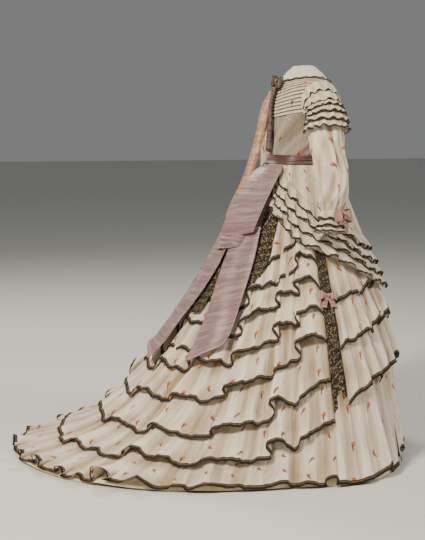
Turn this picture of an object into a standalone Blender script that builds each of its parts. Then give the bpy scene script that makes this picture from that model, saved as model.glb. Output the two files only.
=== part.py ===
"""A bustle dress of printed muslin, about 1870, in the hollow form in which it is worn.

The wearer faces -Y, the train runs towards +Y and the wearer's left is +X. Heights are worked out above
the floor, and every mesh is then moved down, so that the origin is where the shoulders hold the dress.
An angle of 0 is the front, 90 the wearer's right side and 180 the back.
"""

import math

import bpy
from mathutils import Vector

# Driving dimensions in metres, angles in degrees
HOLD_HEIGHT = 1.30
CLOTH = 0.0015
GAP = 0.0004
LAYER = CLOTH + GAP
WAIST_BACK_SHIFT = 0.028

# The skirt's outline at the front, side and back: reach from its middle, height
SKIRT_FRONT = ((0.092, 1.050), (0.138, 0.970), (0.172, 0.890), (0.235, 0.720),
               (0.298, 0.540), (0.326, 0.340), (0.340, 0.150), (0.350, 0.000))
SKIRT_SIDE = ((0.118, 1.050), (0.160, 0.980), (0.196, 0.900), (0.280, 0.700),
              (0.362, 0.500), (0.430, 0.300), (0.490, 0.120), (0.530, 0.000))
SKIRT_BACK = ((0.090, 1.050), (0.152, 1.000), (0.212, 0.900), (0.320, 0.700),
              (0.430, 0.500), (0.560, 0.310), (0.750, 0.125), (1.060, 0.000))
SIDE_SEAM = 95.0
TRAIN_SWEEP = 13.0
TRAIN_ROUNDNESS = 1.6
FRONT_ROUNDNESS = (1.1, 3.2)
WAIST_LEVEL = 0.06

# Where the back flounces start and the front ones end, and the columns of each stretch
BACK_EDGE = 98.0
FRONT_EDGE = 91.0
BACK_COLUMNS = 32
FRONT_COLUMNS = 28

# How far down the skirt each edge lies, as a share of its length, at the angles of the first row
EDGE_ANGLES = (0, 55, 91, 98, 120, 140, 160, 180)
EDGES = {
    "waist": (0.00, 0.00, 0.00, 0.00, 0.00, 0.00, 0.00, 0.00),
    "hip": (0.14, 0.13, 0.11, 0.11, 0.12, 0.15, 0.16, 0.16),
    "back_1": (0.28, 0.26, 0.24, 0.24, 0.29, 0.36, 0.40, 0.42),
    "back_2": (0.37, 0.35, 0.33, 0.325, 0.375, 0.44, 0.47, 0.48),
    "back_3": (0.43, 0.425, 0.45, 0.405, 0.45, 0.525, 0.54, 0.54),
    "back_4": (0.49, 0.48, 0.52, 0.48, 0.55, 0.61, 0.60, 0.59),
    "back_5": (0.55, 0.54, 0.585, 0.565, 0.65, 0.71, 0.68, 0.67),
    "back_6": (0.62, 0.61, 0.67, 0.68, 0.78, 0.83, 0.78, 0.76),
    "back_7": (0.70, 0.69, 0.75, 0.80, 0.90, 0.915, 0.89, 0.88),
    "hem": (1.00, 1.00, 1.00, 1.00, 1.00, 1.00, 1.00, 1.00),
}
HEM_SHOWS = 0.012
SEAM_TUCK = 0.004
SEAM_LIFT = 0.0021
TRAIN_SEAM_LIFT = 0.0027
FLUTE_SHORTENS = 0.008

# Apron ruffle edges in the same way, down to its corner near the sash
APRON_ANGLES = (0, 34, 56, 78, 95, 113, 126, 136)
APRON_EDGES = {
    "waist": (0.00, 0.00, 0.00, 0.00, 0.00, 0.00, 0.00, 0.00),
    "hip": (0.15, 0.14, 0.13, 0.10, 0.08, 0.055, 0.03, 0.02),
    "seam": (0.29, 0.28, 0.26, 0.20, 0.165, 0.11, 0.06, 0.04),
    "ruffle_1": (0.34, 0.33, 0.31, 0.25, 0.21, 0.15, 0.10, 0.075),
    "ruffle_2": (0.39, 0.38, 0.35, 0.285, 0.245, 0.19, 0.135, 0.11),
    "ruffle_3": (0.435, 0.42, 0.385, 0.32, 0.28, 0.23, 0.17, 0.145),
    "ruffle_4": (0.48, 0.46, 0.42, 0.355, 0.315, 0.27, 0.205, 0.18),
}
APRON_CORNER = 136.0
APRON_LIFT = 0.016

# The deep folds of the skirt: width in columns and depth at the hem, from the side slit to the middle
BACK_FOLDS = ((3, 0.020), (2, 0.020), (3, 0.028), (3, 0.030), (3, 0.026), (2, 0.020))
FRONT_FOLDS = ((3, 0.014), (2, 0.012), (3, 0.014), (2, 0.012), (2, 0.012), (2, 0.008))

# The bodice's outline in the same way, from the waist to the neck
BODICE_FRONT = ((0.092, 1.0504), (0.106, 1.110), (0.130, 1.180), (0.126, 1.235), (0.104, 1.294), (0.078, 1.337))
BODICE_SIDE = ((0.118, 1.0504), (0.132, 1.120), (0.150, 1.200), (0.154, 1.270), (0.136, 1.314), (0.078, 1.345))
BODICE_BACK = ((0.090, 1.0504), (0.102, 1.110), (0.114, 1.180), (0.113, 1.245), (0.100, 1.298), (0.078, 1.340))
ARMHOLE_MIDDLE = 0.62
ARMHOLE_HALF_HEIGHT = 0.215
ARMHOLE_ANGLE = 88.0
ARMHOLE_HALF_WIDTH = 25.0
ARMHOLE_LIFT = 0.0060
TUCK_COUNT = 12
TUCK_LIFT = 0.0020
TUCKS_START = 0.52

# A sleeve's middle line: out from the body, back, height, half width
SLEEVE = (
    (0.198, 0.008, 1.232, 0.056),
    (0.218, 0.008, 1.192, 0.061),
    (0.232, 0.010, 1.142, 0.064),
    (0.250, 0.010, 1.078, 0.064),
    (0.272, 0.008, 1.012, 0.063),
    (0.292, 0.008, 0.950, 0.059),
    (0.304, 0.014, 0.910, 0.050),
    (0.312, 0.022, 0.884, 0.032),
    (0.320, 0.028, 0.848, 0.029),
    (0.326, 0.032, 0.814, 0.030),
)
SLEEVE_COLUMNS = 12
SLEEVE_ROWS = 11

MUSLIN = (0.82, 0.76, 0.66)
MUSLIN_LINED = (0.52, 0.44, 0.34)
LACE_BLACK = (0.05, 0.045, 0.04)
SASH_MAUVE = (0.40, 0.29, 0.28)
RIBBON_DARK = (0.10, 0.045, 0.045)
RIBBON_PEACH = (0.58, 0.33, 0.21)
RIBBON_PINK = (0.52, 0.27, 0.21)


def smooth(share):
    share = min(1.0, max(0.0, share))
    return share * share * (3 - 2 * share)


def mix(start, end, share):
    return start + (end - start) * share


def glide(places, values, place):
    """A smooth curve through the values, level where they turn, held at both ends."""
    if place <= places[0]:
        return values[0]
    if place >= places[-1]:
        return values[-1]
    i = max(k for k in range(len(places) - 1) if places[k] <= place)
    slopes = []
    for k in (i, i + 1):
        before, after = max(k - 1, 0), min(k + 1, len(places) - 1)
        slopes.append((values[after] - values[before]) / (places[after] - places[before]))
    span = places[i + 1] - places[i]
    s = (place - places[i]) / span
    start = (2 * s**3 - 3 * s**2 + 1) * values[i] + (s**3 - 2 * s**2 + s) * span * slopes[0]
    return start + (3 * s**2 - 2 * s**3) * values[i + 1] + (s**3 - s**2) * span * slopes[1]


def outline(rows, samples=120):
    """Reach and height at even steps along the curve through the rows, as a list to be read by share."""
    steps = [0.0]
    for a, b in zip(rows, rows[1:]):
        steps.append(steps[-1] + math.dist(a, b))
    fine = []
    for k in range(samples + 1):
        at = steps[-1] * k / samples
        fine.append((glide(steps, [r[0] for r in rows], at), glide(steps, [r[1] for r in rows], at)))
    return fine


def read(curve, share):
    at = min(1.0, max(0.0, share)) * (len(curve) - 1)
    i = min(int(at), len(curve) - 2)
    return [mix(curve[i][k], curve[i + 1][k], at - i) for k in (0, 1)]


SKIRT = [outline(rows) for rows in (SKIRT_FRONT, SKIRT_SIDE, SKIRT_BACK)]
BODICE = [outline(rows) for rows in (BODICE_FRONT, BODICE_SIDE, BODICE_BACK)]


def around(angle):
    """The angle from the front, from 0 to 180 on either side."""
    return abs((angle + 180) % 360 - 180)


def skirt_plain(share, angle):
    """A point of the skirt with no folds: straight below the waist in front, swept out behind."""
    off = around(angle)
    if off <= SIDE_SEAM:
        roundness = mix(*FRONT_ROUNDNESS, smooth(share))
        weight = ((1 - math.cos(math.pi * off / SIDE_SEAM)) / 2) ** roundness
        near, far, sweep = read(SKIRT[0], share), read(SKIRT[1], share), 0.0
    else:
        weight = ((1 - math.cos(math.pi * (off - SIDE_SEAM) / (180 - SIDE_SEAM))) / 2) ** TRAIN_ROUNDNESS
        near, far, sweep = read(SKIRT[1], share), read(SKIRT[2], share), TRAIN_SWEEP * weight * share
    reach, height = mix(near[0], far[0], weight), mix(near[1], far[1], weight)
    turn = math.radians(angle + sweep)
    shift = WAIST_BACK_SHIFT * (1 - smooth(share))
    return Vector((-reach * math.sin(turn), shift - reach * math.cos(turn), height))


def bodice_plain(share, angle):
    """A point of the bodice, from the waist up to the neck."""
    off = math.radians(around(angle))
    front_on = off < math.pi / 2
    end = read(BODICE[0] if front_on else BODICE[2], share)
    side = read(BODICE[1], share)
    weight = math.sin(off) ** 2
    reach, height = mix(end[0], side[0], weight), mix(end[1], side[1], weight)
    turn = math.radians(angle)
    shift = WAIST_BACK_SHIFT * (1 - smooth(share * 2))
    return Vector((-reach * math.sin(turn), shift - reach * math.cos(turn), height))


def outward(surface, share, angle):
    """The direction square to a surface, away from the wearer, and level at the waist, where pieces meet."""
    step, turn = 0.01, 1.5
    along = surface(min(1.0, share + step), angle) - surface(max(0.0, share - step), angle)
    across = surface(share, angle + turn) - surface(share, angle - turn)
    square = across.cross(along).normalized()
    radius = surface(share, angle)
    if square.dot(Vector((radius.x, radius.y, 0.1))) < 0:
        square.negate()
    square.z *= smooth(share / WAIST_LEVEL)
    return square.normalized()


def fold_depth(share, angle):
    """How far the skirt's deep folds stand out here: nothing at the waist, most at the hem. Each fold
    rises away from the side slit and laps over the next one."""
    off = around(angle)
    if off >= BACK_EDGE:
        column = (off - BACK_EDGE) / ((180 - BACK_EDGE) / (BACK_COLUMNS / 2))
        folds, start = BACK_FOLDS, 0.12
    elif off <= FRONT_EDGE:
        column = (FRONT_EDGE - off) / (FRONT_EDGE / (FRONT_COLUMNS / 2))
        folds, start = FRONT_FOLDS, 0.30
    else:
        return 0.0
    for width, depth in folds:
        if column <= width:
            return depth * min(column / (width - 1), width - column) * smooth((share - start) / 0.6)
        column -= width
    return 0.0


def skirt(share, angle, lift):
    """A point in a layer of the skirt, lift metres out from its inner face."""
    depth = fold_depth(share, angle) + lift
    return skirt_plain(share, angle) + outward(skirt_plain, share, angle) * depth


def bodice(share, angle, lift):
    return bodice_plain(share, angle) + outward(bodice_plain, share, angle) * lift


def edge_share(name, angle):
    return glide(EDGE_ANGLES, EDGES[name], around(angle))


def apron_share(name, angle):
    return glide(APRON_ANGLES, APRON_EDGES[name], around(angle))


def back_angles():
    return [mix(BACK_EDGE, 360 - BACK_EDGE, k / BACK_COLUMNS) for k in range(BACK_COLUMNS + 1)]


def front_angles():
    return [mix(-FRONT_EDGE, FRONT_EDGE, k / FRONT_COLUMNS) for k in range(FRONT_COLUMNS + 1)]


def all_angles():
    """Every column of the skirt once round, so that all its layers share their columns."""
    return front_angles() + back_angles()


def wave(angle, period, start):
    """A flute's height from 0 to 1."""
    return 0.5 - 0.5 * math.cos(2 * math.pi * (angle - start) / period)


def material(name, colour, roughness):
    made = bpy.data.materials.new(name)
    made.use_nodes = True
    shader = made.node_tree.nodes["Principled BSDF"]
    shader.inputs["Base Color"].default_value = (*colour, 1)
    shader.inputs["Roughness"].default_value = roughness
    shader.inputs["Metallic"].default_value = 0
    return made


def add_body(name, points, faces, colour, roughness):
    """One closed mesh, its faces turned outward, moved down to the height where the dress is held."""
    down = Vector((0, 0, HOLD_HEIGHT))
    mesh = bpy.data.meshes.new(name)
    mesh.from_pydata([p - down for p in points], [], faces)
    signed = 0.0
    for face in mesh.polygons:
        a, b, c = (mesh.vertices[i].co for i in face.vertices)
        signed += a.dot(b.cross(c))
    if signed < 0:
        mesh.flip_normals()
    mesh.materials.append(material(name, colour, roughness))
    body = bpy.data.objects.new(name, mesh)
    bpy.context.scene.collection.objects.link(body)
    return body


def wall(name, rows, columns, inner, outer, colour, closed=False, roughness=0.8):
    """A cloth wall between two faces. inner and outer give the point of a row and a column, and both
    faces are cut into the same triangles, so that the wall keeps its thickness."""
    points = [side(r, c) for side in (inner, outer) for r in range(rows) for c in range(columns)]
    outside = rows * columns
    faces = []
    spans = columns if closed else columns - 1
    for r in range(rows - 1):
        for c in range(spans):
            a, b = r * columns + c, r * columns + (c + 1) % columns
            d, e = a + columns, b + columns
            faces += [(a, e, b), (a, d, e)]
            faces += [(outside + a, outside + b, outside + e), (outside + a, outside + e, outside + d)]
    for r, flip in ((0, False), (rows - 1, True)):
        for c in range(spans):
            a, b = r * columns + c, r * columns + (c + 1) % columns
            strip = [(a, b, outside + b), (a, outside + b, outside + a)]
            faces += [tuple(reversed(f)) for f in strip] if flip else strip
    if not closed:
        for c, flip in ((0, True), (columns - 1, False)):
            for r in range(rows - 1):
                a, d = r * columns + c, (r + 1) * columns + c
                strip = [(a, d, outside + d), (a, outside + d, outside + a)]
                faces += [tuple(reversed(f)) for f in strip] if flip else strip
    return add_body(name, points, faces, colour, roughness)


def skirt_layer(name, angles, shares, lifts, colour, closed=False):
    """A wall of the skirt: shares and lifts hold one function of the angle for each row."""
    def face(extra):
        def at(row, column):
            angle = angles[column]
            return skirt(shares[row](angle), angle, lifts[row](angle) + extra)
        return at
    return wall(name, len(shares), len(angles), face(0), face(CLOTH), colour, closed)


def underskirt():
    names = list(EDGES)
    shares = [lambda angle, n=n: edge_share(n, angle) for n in names]
    lifts = [lambda angle: 0.0 for _ in names]
    skirt_layer("underskirt", all_angles(), shares, lifts, MUSLIN, closed=True)


def flounce(name, angles, names, stand, flute, period, start, closed=False):
    """A flounce, gathered flat into its seam, fluted along its edge and a little shorter over each flute."""
    last = len(names) - 1
    seam = TRAIN_SEAM_LIFT if names[0] in ("back_6", "back_7") else SEAM_LIFT

    def share_at(row):
        def at(angle):
            share = edge_share(names[row], angle)
            if row == 0:
                return share - (SEAM_TUCK if names[0] != "hip" else 0)
            if row < last:
                return share
            return share - (HEM_SHOWS if names[row] == "hem" else FLUTE_SHORTENS * wave(angle, period, start))
        return at

    def lift_at(row):
        def at(angle):
            return seam + (stand + flute * wave(angle, period, start)) * row / last
        return at
    rows = range(last + 1)
    skirt_layer(name, angles, [share_at(r) for r in rows], [lift_at(r) for r in rows], MUSLIN, closed)


# Back flounces from the top: how far the edge stands out, the depth of its flutes, their number
BACK_FLUTES = ((0.003, 0.005, 8), (0.003, 0.006, 8), (0.004, 0.008, 8), (0.008, 0.014, 9),
               (0.010, 0.016, 9), (0.010, 0.018, 9), (0.009, 0.018, 9))


def back_flounces():
    names = ["hip"] + [f"back_{k}" for k in range(1, 8)]
    step = (360 - 2 * BACK_EDGE) / BACK_COLUMNS
    for k, (stand, flute, flutes) in enumerate(BACK_FLUTES):
        start = BACK_EDGE + step * (k % 3)
        rows = names[k:k + 2]
        period = (360 - 2 * BACK_EDGE) / flutes
        flounce(f"back_flounce_{k + 1}", back_angles(), rows, stand, flute, period, start)


def front_flounces():
    step = 2 * FRONT_EDGE / FRONT_COLUMNS
    rows = ((("back_2", "back_3"), 0.004, 0.006), (("back_3", "back_4", "back_5"), 0.008, 0.012),
            (("back_5", "back_6", "back_7"), 0.009, 0.014))
    for k, (names, stand, flute) in enumerate(rows):
        flounce(f"front_flounce_{k + 1}", front_angles(), names, stand, flute, 4 * step, step * k)


def hem_flounce():
    flounce("hem_flounce", all_angles(), ("back_7", "hem"), 0.008, 0.020, 20.0, 5.0, closed=True)


def side_panels():
    """Black lace in the slit between the front and the back flounces."""
    names = ("back_1", "back_2", "back_3", "back_4", "back_5", "back_6", "back_7")
    inset = 0.25
    for side, label in ((1, "right"), (-1, "left")):
        angles = [side * (FRONT_EDGE + inset), side * (BACK_EDGE - inset)]
        shares = [lambda angle, n=n: edge_share(n, angle) for n in names[:-1]]
        shares.append(lambda angle: edge_share("back_7", angle) - 0.008)
        lifts = [lambda angle: LAYER for _ in names]
        skirt_layer(f"side_lace_panel_{label}", sorted(angles), shares, lifts, LACE_BLACK)


def apron_angles():
    inside = [a - 360 if a > 180 else a for a in all_angles()]
    return sorted([a for a in inside if abs(a) < APRON_CORNER - 1] + [-APRON_CORNER, APRON_CORNER])


def apron_rise(share):
    """The apron leaves the waist flat and then lies over the flounces."""
    return LAYER + APRON_LIFT * smooth(share / 0.16)


def apron():
    names = list(APRON_EDGES)
    shares = [lambda angle, n=n: apron_share(n, angle) for n in names[:-1]]
    shares.append(lambda angle: apron_share("ruffle_4", angle) - 0.008)
    lifts = [lambda angle, s=s: apron_rise(s(angle)) for s in shares]
    skirt_layer("apron", apron_angles(), shares, lifts, MUSLIN)


# The width of a flute of the apron's ruffles, in degrees
APRON_FLUTE = 2 * APRON_CORNER / 7


def apron_ruffles():
    names = ("seam", "ruffle_1", "ruffle_2", "ruffle_3", "ruffle_4")
    for k in range(4):
        def top(angle, n=names[k], tuck=0.003 if k else 0.0):
            return apron_share(n, angle) - tuck

        def bottom(angle, n=names[k + 1]):
            return apron_share(n, angle)

        def pinned(angle, at=top):
            return apron_rise(at(angle)) + LAYER

        def hang(angle, at=bottom, start=7.0 * k):
            return apron_rise(at(angle)) + LAYER + 0.0035 + 0.006 * wave(angle, APRON_FLUTE, start)
        skirt_layer(f"apron_ruffle_{k + 1}", apron_angles(), [top, bottom], [pinned, hang], MUSLIN)


def armhole_edge(share):
    """How far the armhole reaches from its middle at this height, in degrees."""
    rise = (share - ARMHOLE_MIDDLE) / ARMHOLE_HALF_HEIGHT
    return ARMHOLE_HALF_WIDTH * math.sqrt(max(0.0, 1 - rise * rise))


def bodice_wall(name, shares, columns, first, last, colour, tucks=False):
    """A bodice panel from the angle first to last, which are functions of the height."""
    def face(extra):
        def at(row, column):
            share = shares[row]
            angle = mix(first(share), last(share), column / (columns - 1))
            raised = TUCK_LIFT if tucks and extra and row % 2 else 0.0
            return bodice(share, angle, extra + raised)
        return at
    wall(name, len(shares), columns, face(0), face(CLOTH), colour)


def bodice_panels():
    seam = 0.12
    low = ARMHOLE_MIDDLE - ARMHOLE_HALF_HEIGHT
    high = ARMHOLE_MIDDLE + ARMHOLE_HALF_HEIGHT

    def back_first(share):
        return max(90 + seam, ARMHOLE_ANGLE + armhole_edge(share)) if low < share < high else 90 + seam

    def back_last(share):
        return 360 - back_first(share)

    def front_first(share):
        return min(90 - seam, ARMHOLE_ANGLE - armhole_edge(share)) if low < share < high else 90 - seam

    def middle(share):
        return seam
    lower = [0, 0.13, 0.26, low, 0.455, TUCKS_START - 0.003]
    bodice_wall("back_lower", lower, 11, back_first, back_last, MUSLIN_LINED)
    upper = [mix(TUCKS_START, 1, k / (2 * TUCK_COUNT)) for k in range(2 * TUCK_COUNT + 1)]
    bodice_wall("back_tucked", upper, 9, back_first, back_last, MUSLIN, tucks=True)
    rows = [0, 0.14, 0.28, low, 0.45, 0.53, 0.62, 0.71, 0.79, high, 0.92, 1]
    bodice_wall("bodice_front_right", rows, 7, middle, front_first, MUSLIN)
    bodice_wall("bodice_front_left", rows, 7, lambda s: -front_first(s), lambda s: -seam, MUSLIN)


def round_neck():
    """The plain collar over the neck edge, and the lace that trims it."""
    columns = 24
    over_tucks = LAYER + TUCK_LIFT + 0.0009
    bend = ((0.955, over_tucks, 0.000), (1.0, over_tucks, 0.000), (1.0, 0.001, 0.022), (1.0, -0.010, 0.050))

    def face(extra, rows):
        def at(row, column):
            share, lift, rise = rows[row]
            angle = 360 * column / columns
            inward = 1 - rise * 7.4
            point = bodice(share, angle, lift + extra)
            middle = Vector((0, 0.002, point.z))
            return middle + (point - middle) * inward + Vector((0, 0, rise))
        return at
    wall("collar", len(bend), columns, face(0, bend), face(CLOTH, bend), MUSLIN, closed=True)
    over = LAYER * 2 + TUCK_LIFT + 0.0009
    frill = ((0.925, over + 0.001, 0.0), (0.975, over + 0.001, 0.0))
    wall("neck_lace", 2, columns, face(0, frill), face(CLOTH, frill), LACE_BLACK, closed=True)


def belt():
    angles = [angle for k, angle in enumerate(all_angles()) if k % 2 == 0]
    below, above, ease = 0.012, 0.065, 0.0026

    def face(extra):
        def at(row, column):
            angle = angles[column]
            if row == 0:
                return skirt(below, angle, apron_rise(below) + LAYER + ease + extra)
            if row == 1:
                return skirt(0, angle, 2 * LAYER + ease + extra)
            return bodice(above, angle, LAYER + ease + extra)
        return at
    wall("belt", 3, len(angles), face(0), face(CLOTH), RIBBON_DARK, closed=True, roughness=0.45)


def sleeve_line(share, side):
    """The middle of a sleeve and its half width, from the shoulder to the wrist."""
    places = [k / (len(SLEEVE) - 1) for k in range(len(SLEEVE))]
    out, back, height, half = (glide(places, [row[k] for row in SLEEVE], share) for k in range(4))
    return Vector((side * out, back, height)), half


def armhole_ring(turn, side, lift):
    """A point of the sleeve's seam, which lies on the bodice round the armhole."""
    share = ARMHOLE_MIDDLE + 1.07 * ARMHOLE_HALF_HEIGHT * math.cos(turn)
    angle = ARMHOLE_ANGLE - 1.10 * ARMHOLE_HALF_WIDTH * math.sin(turn)
    return bodice(share, -side * angle, lift)


def sleeve(share, turn, side, lift):
    """A point of a sleeve. A turn of 0 is the top or outer line and a quarter turn is the front."""
    middle, half = sleeve_line(share, side)
    step = 0.02
    ahead = sleeve_line(min(1, share + step), side)[0] - sleeve_line(max(0, share - step), side)[0]
    ahead.normalize()
    front = Vector((0, -1, 0))
    front = (front - ahead * front.dot(ahead)).normalized()
    up = front.cross(ahead) * -side
    up = up if up.x * side > 0 else -up
    return middle + (up * math.cos(turn) + front * math.sin(turn)) * (half + lift)


def sleeve_point(row, turn, side, lift):
    """Row 0 is the armhole seam, and from row 1 on the rows follow the sleeve's middle line."""
    if row < 1:
        seam = armhole_ring(turn, side, ARMHOLE_LIFT + lift)
        return seam.lerp(sleeve(0, turn, side, lift), row)
    return sleeve((row - 1) / (SLEEVE_ROWS - 2), turn, side, lift)


def sleeves():
    for side, label in ((-1, "right"), (1, "left")):
        def face(lift, side=side):
            def at(row, column):
                return sleeve_point(row, 2 * math.pi * column / SLEEVE_COLUMNS, side, lift)
            return at
        wall(f"sleeve_{label}", SLEEVE_ROWS, SLEEVE_COLUMNS, face(0), face(CLOTH), MUSLIN, closed=True)


# Shoulder ruffles: where each starts and ends, in rows of the sleeve
SHOULDER_RUFFLES = ((0.05, 0.55), (0.50, 1.02), (0.97, 1.47), (1.42, 1.90), (1.85, 2.33), (2.28, 2.80))


def shoulder_ruffles():
    columns = 10
    for side, label in ((-1, "right"), (1, "left")):
        for k, (top, bottom) in enumerate(SHOULDER_RUFFLES):
            seated = 0.0014 if k else 0.0024

            def face(extra, side=side, ends=(top, bottom), k=k, seated=seated):
                def at(row, column):
                    turn = math.radians(mix(-100, 100, column / (columns - 1)))
                    flare = 0.008 + 0.005 * wave(column, 6, k) if row else seated
                    return sleeve_point(ends[row], turn, side, LAYER + flare + extra)
                return at
            wall(f"shoulder_ruffle_{label}_{k + 1}", 2, columns, face(0), face(CLOTH), MUSLIN)


CUFF_RUFFLES = ((0.790, 0.870, 0.006), (0.860, 0.935, 0.009), (0.925, 0.995, 0.012))


def cuff_ruffles():
    columns = 12
    for side, label in ((-1, "right"), (1, "left")):
        for k, (top, bottom, spread) in enumerate(CUFF_RUFFLES):
            def face(extra, side=side, ends=(top, bottom), spread=spread, k=k):
                def at(row, column):
                    flare = spread + 0.005 * wave(column, 4, k) if row else 0.001
                    turn = 2 * math.pi * column / columns
                    return sleeve(ends[row], turn, side, LAYER + flare + extra)
                return at
            wall(f"cuff_ruffle_{label}_{k + 1}", 2, columns, face(0), face(CLOTH), MUSLIN, closed=True)


# The sash's pieces as routes down the back: share of the skirt, angle, lift, half width
LOOP_ROUTE = ((0.0128, 152, 0.0068, 0.022), (0.045, 151, 0.022, 0.038), (0.095, 151, 0.040, 0.056),
              (0.150, 151, 0.046, 0.064), (0.205, 151, 0.039, 0.068), (0.2260, 151, 0.030, 0.068),
              (0.205, 151, 0.024, 0.064), (0.150, 151, 0.020, 0.056), (0.090, 151, 0.018, 0.046))
KNOT_ROUTE = ((0.2265, 157, 0.0285, 0.086), (0.245, 157, 0.0315, 0.088), (0.263, 157, 0.0222, 0.086))
RIGHT_TAIL = ((0.232, 143, 0.0165, 0.045), (0.290, 143, 0.0175, 0.052), (0.350, 143, 0.0175, 0.054),
              (0.410, 144, 0.0190, 0.054), (0.470, 144, 0.0200, 0.056), (0.530, 145, 0.0220, 0.058),
              (0.575, 145, 0.0290, 0.060))
LEFT_TAIL = ((0.232, 171, 0.0178, 0.042), (0.290, 173, 0.0171, 0.050), (0.350, 175, 0.0175, 0.052),
             (0.410, 177, 0.0190, 0.052), (0.470, 178, 0.0200, 0.054), (0.530, 179, 0.0220, 0.056),
             (0.565, 180, 0.0290, 0.058))
SASH_LACE = {
    "sash_lace_right": ((0.222, 135, 0.0118, 0.030), (0.280, 135, 0.0118, 0.034), (0.340, 137, 0.0118, 0.034),
                        (0.400, 140, 0.0130, 0.026)),
    "sash_lace_middle": ((0.266, 159, 0.0092, 0.030), (0.320, 160, 0.0097, 0.034), (0.380, 161, 0.0117, 0.034),
                         (0.440, 162, 0.0150, 0.024)),
}
RIBBON_BUNDLE = ((0.895, 180, 0.0060, 0.014), (0.760, 181, 0.0060, 0.016), (0.560, 182, 0.0060, 0.017),
                 (0.380, 183, 0.0050, 0.018), (0.220, 183, 0.0050, 0.018), (0.090, 183, 0.0050, 0.017))


def ribbon(name, route, columns, colour, surface=skirt, crease=0.0, slant=0.0, roughness=0.45):
    """A band laid along a route over a surface, with lengthwise creases and a slanted end."""
    def face(extra):
        def at(row, column):
            share, angle, lift, half = route[row]
            across = 2 * column / (columns - 1) - 1
            chord = surface(share, angle + 2, lift) - surface(share, angle - 2, lift)
            reach = chord.length / math.radians(4)
            turned = angle + math.degrees(across * half / reach)
            down = slant * across if row == len(route) - 1 else 0.0
            return surface(share + down, turned, lift + extra + crease * (column % 2))
        return at
    wall(name, len(route), columns, face(0), face(CLOTH), colour, roughness=roughness)


def sash():
    ribbon("sash_loop", LOOP_ROUTE, 7, SASH_MAUVE)
    ribbon("sash_knot", KNOT_ROUTE, 9, SASH_MAUVE)
    ribbon("sash_tail_right", RIGHT_TAIL, 5, SASH_MAUVE, crease=0.003, slant=0.035)
    ribbon("sash_tail_left", LEFT_TAIL, 5, SASH_MAUVE, crease=0.003, slant=-0.035)
    for name, route in SASH_LACE.items():
        ribbon(name, route, 4, LACE_BLACK, roughness=0.8)


# The free streamer from the nape: across to the left, back, height
STREAMER = ((0.012, 0.128, 1.290), (0.020, 0.150, 1.225), (0.034, 0.168, 1.120), (0.048, 0.212, 0.990),
            (0.062, 0.268, 0.900), (0.074, 0.312, 0.850))
STREAMER_HALF = 0.017
BOW_OUTLINE = ((-1.0, 0.20), (-0.8, 0.55), (-0.45, 0.48), (-0.16, 0.20), (0.0, 0.26),
               (0.16, 0.20), (0.45, 0.48), (0.8, 0.55), (1.0, 0.20))


def back_ribbons():
    ribbon("back_ribbons", RIBBON_BUNDLE, 7, RIBBON_DARK, surface=bodice, crease=0.004)
    across = Vector((-0.6, -0.8, 0))
    facing = Vector((-0.8, 0.6, 0))

    def face(extra):
        def at(row, column):
            bow = 0.003 if column == 1 else 0.0
            side = across * STREAMER_HALF * (column - 1)
            return Vector(STREAMER[row]) + side + facing * (extra + bow)
        return at
    wall("streamer", len(STREAMER), 3, face(0), face(CLOTH), RIBBON_PEACH, roughness=0.35)


def bow(name, middle, along, out, size, colour):
    """A ribbon bow: two full loops and a pinched knot, as rings along its length."""
    up = along.cross(out)
    sides = 8
    points = []
    for place, half in BOW_OUTLINE:
        for k in range(sides):
            turn = 2 * math.pi * k / sides
            ring = up * (half * math.cos(turn)) + out * (0.45 * half * math.sin(turn))
            points.append(middle + (along * place + ring) * size)
    faces = []
    for r in range(len(BOW_OUTLINE) - 1):
        for k in range(sides):
            a, b = r * sides + k, r * sides + (k + 1) % sides
            faces += [(a, b, b + sides), (a, b + sides, a + sides)]
    last = len(points) - sides
    faces += [(0, k + 1, k) for k in range(1, sides - 1)]
    faces += [(last, last + k, last + k + 1) for k in range(1, sides - 1)]
    add_body(name, points, faces, colour, 0.45)


def bows():
    rise = Vector((0, 0, 1))
    nape = bodice(0.93, 180, 0.0166)
    bow("nape_bow", nape, Vector((1, 0, 0)), Vector((0, 1, 0)), 0.030, RIBBON_DARK)
    for side, label in ((-1, "right"), (1, "left")):
        middle = sleeve(0.82, math.radians(40), side, 0.0134)
        away = (middle - sleeve_line(0.82, side)[0]).normalized()
        bow(f"cuff_bow_{label}", middle, away.cross(rise).normalized(), away, 0.030, RIBBON_PINK)
        angle = -side * (FRONT_EDGE + BACK_EDGE) / 2
        out = outward(skirt_plain, 0.50, angle)
        middle = skirt(0.45, angle, 0.0184)
        bow(f"side_bow_{label}", middle, out.cross(rise).normalized(), out, 0.030, RIBBON_PINK)


def build():
    for old in list(bpy.data.objects):
        bpy.data.objects.remove(old, do_unlink=True)
    underskirt()
    back_flounces()
    front_flounces()
    hem_flounce()
    side_panels()
    apron()
    apron_ruffles()
    bodice_panels()
    round_neck()
    belt()
    sleeves()
    shoulder_ruffles()
    cuff_ruffles()
    sash()
    back_ribbons()
    bows()


build()
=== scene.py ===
"""The looks of a trained bustle dress of printed cotton muslin, about 1870, around its fixed frame.

The dress faces -Y, its train runs towards +Y and its left is +X. Heights are worked out above the floor,
and every mesh is then moved down by HOLD_HEIGHT. An angle of 0 is the front, 90 the right side and 180 the
back. A share runs from 0 at the waist to 1 at the hem, or at the neck on the bodice.
"""

from functools import partial

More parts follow.
